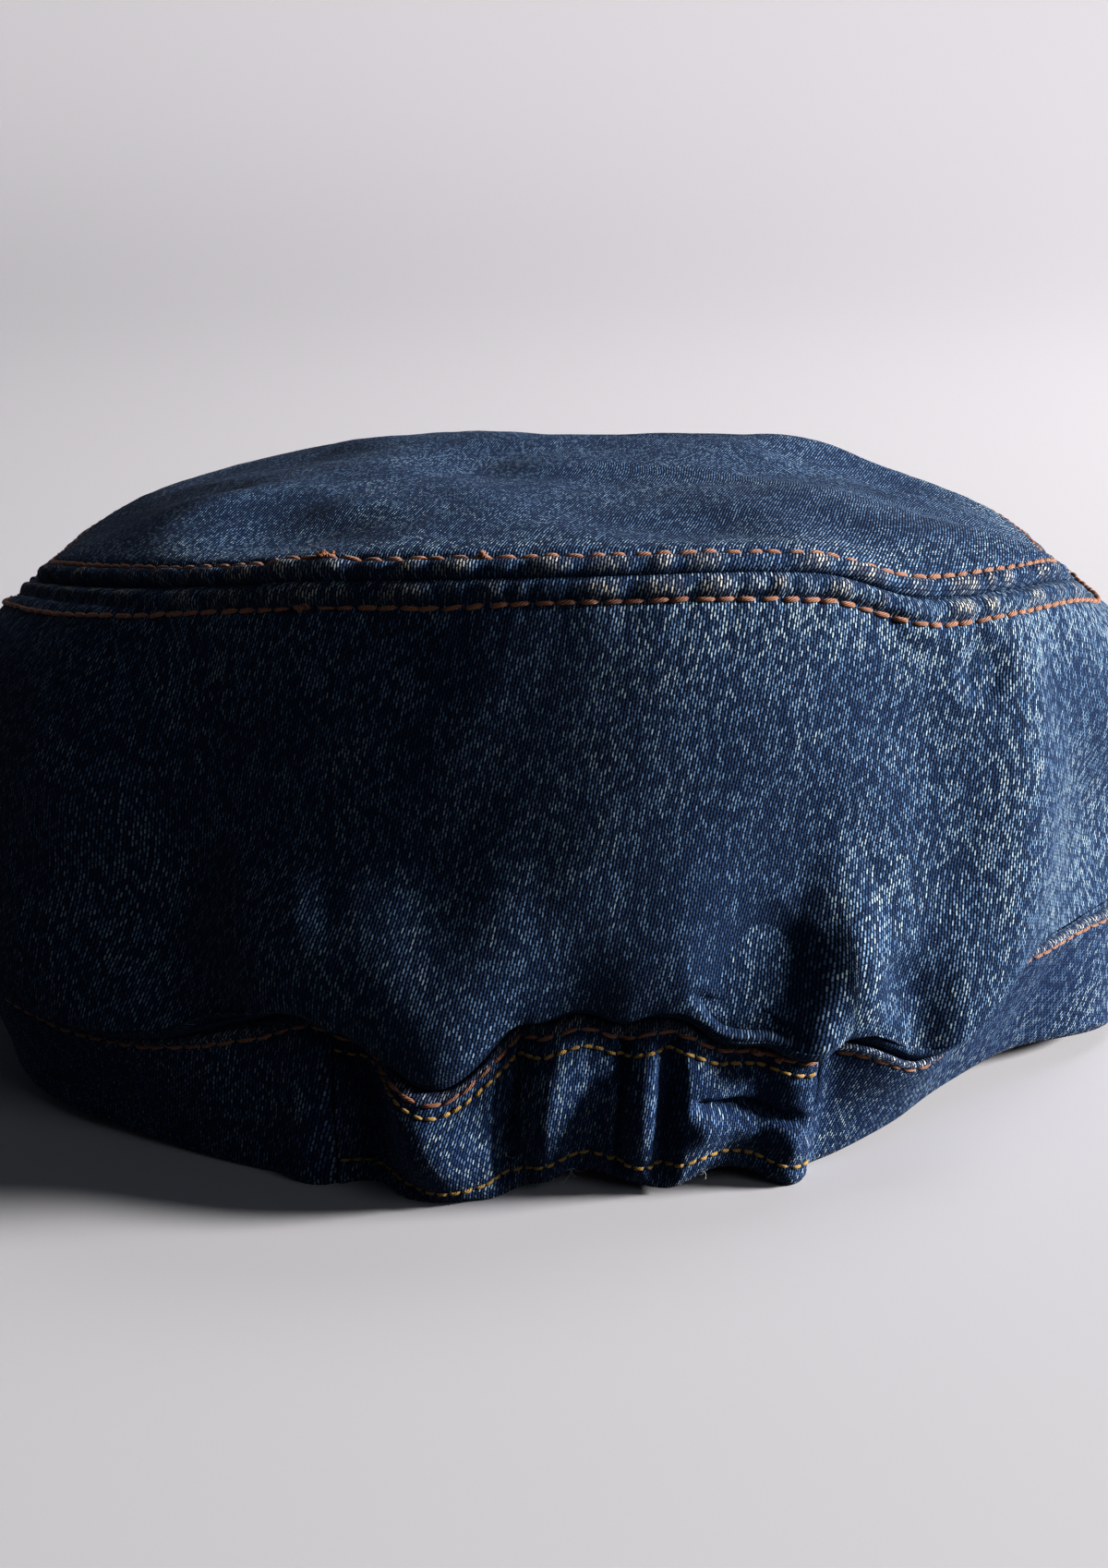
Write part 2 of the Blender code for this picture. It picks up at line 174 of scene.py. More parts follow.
# The wall's profile: along its cloth, how much of the belly it takes, and its share of the rise
WALL_COLUMNS = ("along", "belly", "up")
WALL_PROFILE = (
    (0.00, 0.00, 0.00),
    (0.07, 0.20, 0.00),
    (0.13, 0.50, 0.04),
    (0.24, 0.84, 0.17),
    (0.42, 1.00, 0.38),
    (0.62, 0.93, 0.62),
    (0.80, 0.66, 0.82),
    (0.92, 0.28, 0.95),
    (1.00, 0.00, 1.00),
)

# Gathers of the back: azimuth and half width in degrees, how far they stand out at the hem and at
# the seam as shares of GATHER_DEPTH, and how far they lift the seam as a share of BAND_HEIGHT
GATHER_COLUMNS = ("azimuth", "half_width", "hem_out", "seam_out", "seam_up")
GATHERS = (
    (-24.5, 4.0, 0.35, 0.10, 0.06),
    (-19.0, 4.5, -0.50, -0.40, -0.10),
    (-12.0, 8.0, 0.45, 0.85, -0.38),
    (-4.8, 2.8, -0.45, -0.26, 0.00),
    (1.0, 4.6, -0.40, 0.15, 0.10),
    (6.0, 2.6, -0.10, -0.20, 0.02),
    (9.0, 4.8, 0.25, 0.20, 0.10),
    (14.6, 6.0, -0.12, -0.06, -0.03),
    (20.8, 4.0, 0.75, 0.30, -0.06),
    (28.0, 6.0, 0.00, 0.22, 0.06),
)

# Large folds of the wall: degrees, shares of the wall's height, and a share of FOLD_DEPTH
FOLD_COLUMNS = ("azimuth", "half_width", "lean", "low", "high", "out")
FOLDS = (
    (-36.0, 15.0, -10.0, 0.02, 0.58, -0.62),
    (-15.0, 17.0, -8.0, 0.00, 0.50, 0.34),
    (16.0, 11.0, 10.0, 0.06, 0.62, -0.30),
    (26.5, 6.5, 4.0, 0.00, 0.50, 0.12),
    (34.0, 7.0, 4.0, 0.02, 0.34, -0.30),
    (44.0, 10.0, 4.0, 0.06, 0.70, 0.20),
    (64.0, 17.0, 4.0, 0.02, 0.66, -0.66),
    (82.0, 12.0, 0.0, 0.08, 0.80, 0.25),
    (-78.0, 16.0, 6.0, 0.05, 0.80, 0.30),
    (-104.0, 14.0, -4.0, 0.00, 0.75, -0.50),
    (112.0, 13.0, 5.0, 0.00, 0.70, -0.45),
    (142.0, 14.0, 0.0, 0.05, 0.75, 0.30),
    (-146.0, 14.0, -5.0, 0.00, 0.72, -0.35),
    (180.0, 16.0, 0.0, 0.05, 0.75, 0.35),
)

# Dents and swells of the tip: degrees, shares of the way in, and a share of TIP_DENT_DEPTH
TIP_DENT_COLUMNS = ("azimuth", "half_width", "near", "far", "up")
TIP_DENTS = (
    (-33.0, 16.0, -0.02, 0.40, -0.42),
    (-62.0, 18.0, 0.02, 0.55, 0.45),
    (14.0, 16.0, 0.03, 0.42, -0.35),
    (58.0, 20.0, 0.05, 0.60, -0.15),
    (118.0, 26.0, 0.00, 0.60, -0.90),
    (-122.0, 24.0, 0.00, 0.60, -0.50),
    (170.0, 34.0, 0.02, 0.70, -0.70),
)

# Creases and small bulges of the wall, each along a line from one place to another. Places are an
# azimuth and a share of the wall's height. width is half the crease's width in mm, out its height.
CREASE_COLUMNS = ("from_azimuth", "from_along", "to_azimuth", "to_along", "width", "out")
WALL_CREASES = (
    (10.6, 0.165, 20.0, 0.115, 2.4, -2.5),
    (11.0, 0.08, 21.0, 0.065, 7.0, 1.4),
    (12.5, 0.12, 20.0, 0.35, 12.0, -2.2),
    (20.4, -0.04, 26.0, 0.33, 8.5, 2.3),
    (26.0, 0.14, 24.0, 0.46, 8.5, 1.4),
    (26.0, 0.10, 25.0, 0.42, 10.0, 0.8),
    (28.5, 0.27, 32.0, 0.19, 8.0, -1.6),
    (35.5, 0.06, 38.0, 0.28, 8.0, 1.0),
    (-33.0, 0.46, -21.0, 0.09, 14.0, 1.8),
    (-40.0, 0.30, -26.0, 0.00, 12.0, -2.0),
    (39.5, 0.88, 41.5, 0.74, 7.0, -2.0),
    (30.0, 0.93, 36.0, 0.90, 5.0, 1.0),
    (26.0, 0.72, 44.0, 0.55, 20.0, -0.7),
    (50.0, 0.88, 60.0, 0.45, 14.0, -1.0),
    (-24.0, 0.95, -12.0, 0.80, 9.0, -0.9),
    (-50.0, 0.80, -34.0, 0.72, 16.0, -1.2),
)

# Deep folds of the casing, from the seam down to the hem, in degrees and mm
CASING_COLUMNS = ("at_seam", "at_hem", "width", "out")
CASING_FOLDS = (
    (-19.5, -14.5, 5.0, -1.6),
    (-14.5, -9.2, 5.0, 2.2),
    (-5.0, -6.8, 1.3, -2.6),
    (-1.7, -2.8, 4.2, 2.4),
    (4.6, 4.3, 0.9, -2.8),
    (6.2, 5.7, 2.2, 2.8),
    (8.9, 8.2, 1.6, -3.8),
    (12.4, 11.6, 3.4, 1.0),
    (18.6, 17.0, 4.2, 0.4),
)

# How the casing's hem waves off the table: azimuth and half width in degrees, and mm
CASING_LIFTS = ((0.5, 7.0, 2.4), (9.0, 14.0, 1.2), (14.6, 6.0, 2.8))
CASING_PUFF = 0.0036
CASING_SPREAD = 1.25

# Edges and sewn rows of the band
HEM_FLARE = 0.0014
SEWN_DIP = 0.0004
EDGE_ROUND = 0.0006
EDGE_RIDGE = 0.0007

# Spans of the wall and the casing, where a form opens, is full, fades and shuts. WALL_BODY is in
# shares of the wall's height, the others are azimuths.
FLAT_SIDES = ((21.0, 25.0, 32.0, 37.0), (42.0, 52.0, 78.0, 95.0))
MIDDLE_BACK = (-16.0, -2.0, 12.0, 26.0)
RIGHT_SIDE = (30.0, 44.0, 80.0, 100.0)
WALL_BODY = (0.0, 0.10, 0.90, 0.99)
HEM_SPAN = (-20.0, -12.0, 16.0, 22.0)
PUFF_SPAN = (-20.0, -12.0, 8.0, 20.0)
CREASE_SPAN = (10.0, 12.0, 19.5, 22.3)

# Patches of painted shade on the wall's cloth, in degrees and in shares of the wall's height
PATCH_COLUMNS = ("azimuth", "half_width", "along", "half_height", "darker")
PAINTED_SHADE_PATCHES = (
    (12.0, 15.0, 0.46, 0.42, 0.26),
    (19.0, 7.0, 0.24, 0.24, 0.15),
)

# How much darker or paler whole stretches of the cloth are, mostly painted shade and painted light
ROLL_WEAR = 0.12
ROLL_PAINTED_SHADE = 0.45
BACK_PAINTED_SHADE = 0.20
RIGHT_PAINTED_LIGHT = 0.13
UNDER_SEAM_HIGHLIGHT = 0.35
TIP_PAINTED_SHADE = 0.15
TIP_RIM_PALER = 0.28

# Slack waves of the cloth: height, length and seed
WALL_WAVES = ((0.00035, 0.050, 21), (0.00012, 0.020, 22))
TIP_WAVES = ((0.0008, 0.060, 31), (0.00022, 0.022, 32))

# Heights of the sewn rows on the band and the casing, in shares of the band's height
BAND_ROW = 0.92
CASING_SEAM_ROW = 0.93
CASING_TOP_ROW = 0.83
CASING_HEM_ROW = 0.15


def named_rows(columns, rows):
    return [dict(zip(columns, row)) for row in rows]


SECTION_ROWS = named_rows(SECTION_COLUMNS, SECTIONS)
WALL_ROWS = named_rows(WALL_COLUMNS, WALL_PROFILE)
GATHER_ROWS = named_rows(GATHER_COLUMNS, GATHERS)
FOLD_ROWS = named_rows(FOLD_COLUMNS, FOLDS)
TIP_DENT_ROWS = named_rows(TIP_DENT_COLUMNS, TIP_DENTS)
CREASE_ROWS = named_rows(CREASE_COLUMNS, WALL_CREASES)
CASING_ROWS = named_rows(CASING_COLUMNS, CASING_FOLDS)
SHADE_PATCH_ROWS = named_rows(PATCH_COLUMNS, PAINTED_SHADE_PATCHES)


def smooth_through(places, values, at):
    """A smooth curve through pairs of places and values, read at an array of places."""
    places, values = np.asarray(places), np.asarray(values)
    slopes = np.gradient(values, places)
    slopes[1:-1] = (values[2:] - values[:-2]) / (places[2:] - places[:-2])
    i = np.clip(np.searchsorted(places, at, side="right") - 1, 0, len(places) - 2)
    span = places[i + 1] - places[i]
    t = np.clip((at - places[i]) / span, 0.0, 1.0)
    return (
        (2 * t**3 - 3 * t**2 + 1) * values[i]
        + (t**3 - 2 * t**2 + t) * span * slopes[i]
        + (3 * t**2 - 2 * t**3) * values[i + 1]
        + (t**3 - t**2) * span * slopes[i + 1]
    )


def round_value(column, azimuth):
    """A section column's value at any azimuths, smooth all the way round."""
    places, values = [], []
    for turn in (-360.0, 0.0, 360.0):
        places += [row["azimuth"] + turn for row in SECTION_ROWS]
        values += [row[column] for row in SECTION_ROWS]
    return smooth_through(places, values, (azimuth + 180.0) % 360.0 - 180.0)


def wall_value(column, along):
    """A column of the wall's profile at any shares of the way up its cloth."""
    places, values = zip(*((row["along"], row[column]) for row in WALL_ROWS))
    return smooth_through(places, values, along)


def bell(distance):
    return np.clip(1.0 - distance * distance, 0.0, None) ** 2


def ease(low, high, value):
    """0 below low, 1 above high, and smooth between."""
    t = np.clip((value - low) / (high - low), 0.0, 1.0)
    return t * t * (3.0 - 2.0 * t)


def window(value, opens, full, fades, shuts):
    """1 in the middle of a range, and smoothly 0 past both its ends."""
    return ease(opens, full, value) * (1.0 - ease(fades, shuts, value))


def unit(vectors):
    return vectors / np.maximum(np.linalg.norm(vectors, axis=-1, keepdims=True), 1e-12)


def turn_between(azimuth, middle):
    return (azimuth - middle + 180.0) % 360.0 - 180.0


def oval(width, depth, azimuth):
    angle = np.radians(azimuth)
    return 1.0 / np.hypot(np.sin(angle) / (width / 2), np.cos(angle) / (depth / 2))


def place(azimuth, radius, height):
    angle = np.radians(azimuth)
    x = CENTRE_X + radius * np.sin(angle)
    y = CENTRE_Y - radius * np.cos(angle)
    return np.stack(np.broadcast_arrays(x, y, height), axis=-1)


def gathered(azimuth, column):
    return sum(
        row[column] * bell(turn_between(azimuth, row["azimuth"]) / row["half_width"])
        for row in GATHER_ROWS
    )


def wide_gathers(azimuth):
    """The gathers that are wide enough to show through the wall's roll."""
    return sum(
        row["seam_out"] * bell(turn_between(azimuth, row["azimuth"]) / (1.7 * row["half_width"]))
        for row in GATHER_ROWS if row["half_width"] > 4.5
    )


def hem(azimuth):
    radius = round_value("hem_out", azimuth) * oval(HEM_WIDTH, HEM_DEPTH, azimuth)
    radius = radius + GATHER_DEPTH * gathered(azimuth, "hem_out")
    return radius, FRONT_LIFT * np.maximum(0.0, round_value("hem_up", azimuth))


def band_seam(azimuth):
    radius = round_value("hem_out", azimuth) * oval(HEM_WIDTH, HEM_DEPTH, azimuth)
    radius = radius + BAND_HEIGHT * round_value("flare", azimuth)
    radius = radius + GATHER_DEPTH * gathered(azimuth, "seam_out")
    rise = round_value("stand", azimuth) + gathered(azimuth, "seam_up")
    return radius, hem(azimuth)[1] + BAND_HEIGHT * rise


def tip_seam(azimuth):
    radius = round_value("tip_out", azimuth) * oval(TIP_WIDTH, TIP_DEPTH, azimuth)
    return radius, CROWN_HEIGHT * round_value("tip_up", azimuth)


def wall_base(azimuth, along):
    """The side wall's outer face, with its large folds. Along is below 0 on the band's edge."""
    seam_radius, seam_height = band_seam(azimuth)
    seam_radius = seam_radius + CASING_PROUD
    seam_height = seam_height + SEAM_GAP
    tip_radius, tip_height = tip_seam(azimuth)
    up_wall = np.maximum(along, 0.0)
    belly_radius = round_value("belly_out", azimuth) * oval(CROWN_WIDTH, CROWN_DEPTH, azimuth)
    gather = GATHER_DEPTH * gathered(azimuth, "seam_out")
    turned = turn_between(azimuth, 0.0)
    flat_side = sum(window(turned, *span) for span in FLAT_SIDES)
    least = seam_radius - gather + ROLL_LEAST * (1.0 - 0.75 * flat_side)
    least = least + GATHER_DEPTH * wide_gathers(azimuth)
    pushed = (least - belly_radius + np.hypot(belly_radius - least, ROLL_OUT)) / 2
    middle_back = 1.0 - ease(32.0, 48.0, np.abs(turned))
    belly_radius = belly_radius + pushed * (1.0 - middle_back * ease(0.08, 0.50, up_wall))
    straight = seam_radius - gather + (tip_radius - seam_radius + gather) * up_wall
    straight = straight + gather * np.maximum(0.0, 1.0 - up_wall / GATHER_REACH) ** 2
    radius = straight + (belly_radius - straight) * wall_value("belly", up_wall)
    for row in FOLD_ROWS:
        middle, reach = (row["low"] + row["high"]) / 2, (row["high"] - row["low"]) / 2
        across = turn_between(azimuth, row["azimuth"] + row["lean"] * up_wall) / row["half_width"]
        lengthwise = bell((up_wall - middle) / reach)
        radius = radius + FOLD_DEPTH * row["out"] * bell(across) * lengthwise
    roll = ROLL_OUT * (1.0 - 0.9 * flat_side)
    rolled = np.sqrt(np.clip((up_wall - ROLL_START) / ROLL_REACH, 0.0, 1.0))
    radius = radius + roll * np.sin(np.pi * rolled)
    radius = radius - ROLL_UNDERCUT * bell((up_wall - UNDERCUT_AT) / UNDERCUT_REACH)
    radius = radius + np.minimum(along, 0.0) * (BAND_CLOTH + CASING_PROUD)
    height = seam_height + (tip_height - seam_height) * wall_value("up", up_wall)
    sag = ROLL_SAG * (1.0 + SAG_DEEPER * bell((turned - 31.0) / 9.0))
    height = height - sag * bell((up_wall - SAG_AT) / SAG_REACH)
    return place(azimuth, radius, height)


def tip_base(azimuth, inwards):
    """The tip's upper face: it stands up from its seam, then turns over into a slack dome."""
    radius, height = tip_seam(azimuth)
    rise = 1.0 - (1.0 - inwards) ** round_value("shoulder", azimuth)
    dent = 0.0
    for row in TIP_DENT_ROWS:
        middle, reach = (row["near"] + row["far"]) / 2, (row["far"] - row["near"]) / 2
        across = bell(turn_between(azimuth, row["azimuth"]) / row["half_width"])
        dent = dent + row["up"] * across * bell((inwards - middle) / reach)
    height = height + (CROWN_HEIGHT - height) * rise + TIP_DENT_DEPTH * dent
    run = inwards * radius
    height = height + RIM_RISE * (1.0 - np.exp(-run / RIM_SOFTNESS)) * np.exp(-run / RIM_FADE)
    return place(azimuth, radius - run, height)


def ways_out(points, closed=True):
    """The ways out of a grid of points whose columns go round the cap."""
    if closed:
        across = np.roll(points, -1, axis=1) - np.roll(points, 1, axis=1)
    else:
        across = np.gradient(points, axis=1)
    return unit(np.cross(across, np.gradient(points, axis=0)))


def length_up(points):
    """How far each point of a grid lies along its column."""
    steps = np.linalg.norm(np.diff(points, axis=0), axis=-1)
    return np.concatenate([np.zeros((1, points.shape[1])), np.cumsum(steps, axis=0)])


def towards_seam(normal, azimuth, distance):
    """The ways out of a panel, turned near the tip's seam to what both its panels share there."""
    angle = np.radians(azimuth)
    shared = np.stack([0.93 * np.sin(angle), -0.93 * np.cos(angle), 0.37 + 0.0 * angle], axis=-1)
    share = ease(0.0, UNDER_SEAM, distance)[..., None]
    return unit(normal * share + shared * (1.0 - share))


def lobes(distance, length, pitch, seed):
    """Rounded lobes of uneven width and strength with narrow dips between, along a distance."""
    local = np.random.default_rng(seed)
    count = int(round(length / pitch))
    widths = local.uniform(0.45, 1.8, count)
    edges = np.concatenate([[0.0], np.cumsum(widths)]) * length / widths.sum()
    strengths = local.uniform(0.30, 1.0, count) ** 0.8
    wrapped = distance % length
    i = np.clip(np.searchsorted(edges, wrapped, side="right") - 1, 0, count - 1)
    share = (wrapped - edges[i]) / (edges[i + 1] - edges[i])
    return strengths[i] * (0.15 + 0.85 * np.sin(np.pi * share) ** 0.9)


def slow_noise(first, second, scale, seed, waves=14):
    """A smooth uneven field made of long waves in two directions, about -1 to 1."""
    local = np.random.default_rng(seed)
    field = 0.0
    for _ in range(waves):
        angle = local.uniform(0.0, 2.0 * np.pi)
        length = scale * local.uniform(0.6, 2.2)
        along = first * np.cos(angle) + second * np.sin(angle)
        field = field + np.sin(2.0 * np.pi * along / length + local.uniform(0.0, 2.0 * np.pi))
    return field / math.sqrt(waves)


def wall_creases(azimuth, along):
    """How far the wall's creases and small bulges stand out, each tapered to both its ends."""
    degree = math.radians(WALL_RADIUS)
    total = 0.0
    for row in CREASE_ROWS:
        ax, ay = row["from_azimuth"] * degree, row["from_along"] * WALL_RISE
        bx, by = row["to_azimuth"] * degree, row["to_along"] * WALL_RISE
        px, py = azimuth * degree - ax, along * WALL_RISE - ay
        share = (px * (bx - ax) + py * (by - ay)) / ((bx - ax) ** 2 + (by - ay) ** 2)
        held = np.clip(share, 0.0, 1.0)
        taper = 1.0 - 0.80 * np.abs(2.0 * held - 1.0) ** 2.5
        distance = np.hypot(px - held * (bx - ax), py - held * (by - ay))
        reach = 0.001 * row["width"] * (0.4 + 0.6 * taper)
        total = total + 0.001 * row["out"] * taper * bell(distance / reach)
    return total


def seam_finish(azimuth, distance, lobe):
    """Height, wear and paleness of the cloth at a distance from the tip's seam, on either side,
    with painted shadows.
    """
    share = np.clip(distance / ROW_OFF, 0.0, 1.0)
    inside = distance < ROW_OFF
    welt = np.sin(np.pi * share) ** 0.7 * inside
    height = WELT * welt * (0.30 + 0.80 * lobe)
    height = height - SEAM_GROOVE * np.exp(-((distance / SEAM_GROOVE) ** 2))
    height = height - STITCH_DIP * np.exp(-(((distance - ROW_OFF) / STITCH_DIP_REACH) ** 2))
    beyond = np.exp(-np.maximum(distance - ROW_OFF, 0.0) / PUCKER_FADE) * (distance >= ROW_OFF)
    beyond = beyond * ease(ROW_OFF, ROW_OFF + 0.0015, distance)
    height = height + PUCKER_BEYOND * beyond * (lobe - 0.5)
    lap = window(azimuth, *LAP_SPAN) * inside
    worn_lap = LAP_WEAR * lap * bell((distance - LAP_WEAR_AT) / LAP_WEAR_REACH)
    wear = np.maximum(welt**2 * ease(0.35, 0.95, lobe), worn_lap)
    wear = wear * (1.0 - bell((azimuth - UNWORN_NICK) / UNWORN_HALF_WIDTH))
    # Painted shadows across the seam, at the lap's two ends
    seam_shadows = sum(darker * bell((azimuth - at) / reach) for at, reach, darker in SEAM_PAINTED_SHADOWS)
    paleness_and_painted_shade = LAP_PALER * lap - seam_shadows * bell(distance / SEAM_SHADOW_REACH)
    return height + LAP_RISE * lap, wear, paleness_and_painted_shade


def placed(name, data):
    """A new object in the scene."""
    thing = bpy.data.objects.new(name, data)
    bpy.context.scene.collection.objects.link(thing)
    return thing


def mesh_piece(name, points, uv, round_closed, section_closed, attributes, material):
    """A piece through a grid of points. Rows run along the section, columns round the cap."""
    rows, columns = points.shape[:2]
    index = np.arange(rows * columns).reshape(rows, columns)
    row_count = rows if section_closed else rows - 1
    column_count = columns if round_closed else columns - 1
    r, c = np.meshgrid(np.arange(row_count), np.arange(column_count), indexing="ij")
    r2, c2 = (r + 1) % rows, (c + 1) % columns
    quads = np.stack([index[r, c], index[r, c2], index[r2, c2], index[r2, c]], axis=-1)
    faces = quads.reshape(-1, 4).tolist()
    if section_closed and not round_closed:
        faces += [index[:, 0].tolist(), index[::-1, -1].tolist()]
    mesh = bpy.data.meshes.new(name)
    mesh.from_pydata(points.reshape(-1, 3).tolist(), [], faces)
    if round_closed:
        past = uv[:, :1].copy()
        past[:, 0, 0] = uv[:, -1, 0] + uv[:, 1, 0] - uv[:, 0, 0]
        uv = np.concatenate([uv, past], axis=1)
    corners = np.stack([uv[r, c], uv[r, c + 1], uv[r2, c + 1], uv[r2, c]])
    flat = np.moveaxis(corners, 0, 2).reshape(-1, 2)
    values = np.zeros((len(mesh.loops), 2))
    values[: len(flat)] = flat
    mesh.uv_layers.new(name="cloth").data.foreach_set("uv", values.ravel())
    for key, field in attributes.items():
        store = mesh.attributes.new(key, "FLOAT", "POINT")
        store.data.foreach_set("value", np.broadcast_to(field, (rows, columns)).ravel())
    mesh.materials.append(material)
    mesh.shade_smooth()
    return placed(name, mesh)


def lined_piece(name, outer, inner, rows, uv, wear, shade, material, round_closed, section_closed):
    """A cloth piece of two faces. The inner one has only some of the outer one's rows."""
    plain = np.zeros(inner.shape[:2])
    fields = {
        "wear": np.concatenate([np.clip(wear, 0.0, 1.0), plain]),
        "shade": np.concatenate([shade, plain]),
    }
    points = np.concatenate([outer, inner])
    cloth = np.concatenate([uv, uv[rows]])
    return mesh_piece(name, points, cloth, round_closed, section_closed, fields, material)


def rows_down(outer, count):
    """Some rows of a grid, evenly chosen, from its last row to its first."""
    return np.linspace(len(outer) - 1, 0, count).round().astype(int)


def azimuths_round():
    """Azimuths round the whole cap, close together where the photo looks."""
    fine = np.arange(-100.0, 100.0, 0.5)
    coarse = np.arange(100.0, 260.0, 2.0)
    return np.concatenate([fine, coarse])


# Materials

# The twill's yarns and floats in metres, how its ribs lean and step, and how faded it is
YARN = 0.00050
FLOAT = 0.00110
RIB_LEAN = -0.20
RIB_STEP = 0.38
RIB_UNEVEN = 0.16
FADE = 0.50

# Noises of the twill: scale, detail, roughness and strength
SWAY = (70.0, 1.0, 0.5, 0.0009)
FINE_SWAY = (700.0, 1.0, 0.5, 0.00022)
FRIZZ = (5200.0, 2.0, 0.5, 0.55)
SLUB = (900.0, 3.0, 0.6, 1.1)
CLOUD = (75.0, 5.0, 0.62, 0.9)

# Colours that both denims share
DEEP = (0.0030, 0.0090, 0.027)
PALE = (0.420, 0.550, 0.640)
WORN = (0.740, 0.700, 0.580)


def add_node(tree, kind, **settings):
    node = tree.nodes.new(kind)
    for key, value in settings.items():
        setattr(node, key, value)
    return node


def math_node(tree, operation, first, second=None, clamp=False):
    node = add_node(tree, "ShaderNodeMath", operation=operation, use_clamp=clamp)
    for socket, value in zip(node.inputs, (first, second)):
        if value is None:
            continue
        if isinstance(value, (int, float)):
            socket.default_value = value
        else:
            tree.links.new(value, socket)
    return node.outputs[0]


def multiply(tree, first, second, clamp=False):
    return math_node(tree, "MULTIPLY", first, second, clamp)


def plus(tree, first, second, clamp=False):
    return math_node(tree, "ADD", first, second, clamp)


def minus(tree, first, second):
    return math_node(tree, "SUBTRACT", first, second)


def map_range(tree, value, low, high, to_low=0.0, to_high=1.0):
    node = add_node(tree, "ShaderNodeMapRange", interpolation_type="SMOOTHSTEP")
    tree.links.new(value, node.inputs["Value"])
    limits = {"From Min": low, "From Max": high, "To Min": to_low, "To Max": to_high}
    for key, number in limits.items():
        node.inputs[key].default_value = number
    return node.outputs["Result"]


def mix_colour(tree, factor, first, second):
    node = add_node(tree, "ShaderNodeMix", data_type="RGBA")
    sockets = (node.inputs["Factor"], node.inputs[6], node.inputs[7])
    for socket, value in zip(sockets, (factor, first, second)):
        if isinstance(value, (int, float, tuple)):
            socket.default_value = value
        else:
            tree.links.new(value, socket)
    return node.outputs[2]


def noise_value(tree, vector, scale, detail=2.0, roughness=0.5):
    node = add_node(tree, "ShaderNodeTexNoise", noise_dimensions="3D")
    tree.links.new(vector, node.inputs["Vector"])
    node.inputs["Scale"].default_value = scale
    node.inputs["Detail"].default_value = detail
    node.inputs["Roughness"].default_value = roughness
    return node.outputs["Fac"]


def uneven(tree, vector, scale, detail, roughness, strength):
    """Noise that goes as far below 0 as above it."""
    noise = noise_value(tree, vector, scale, detail, roughness)
    return multiply(tree, minus(tree, noise, 0.5), strength)


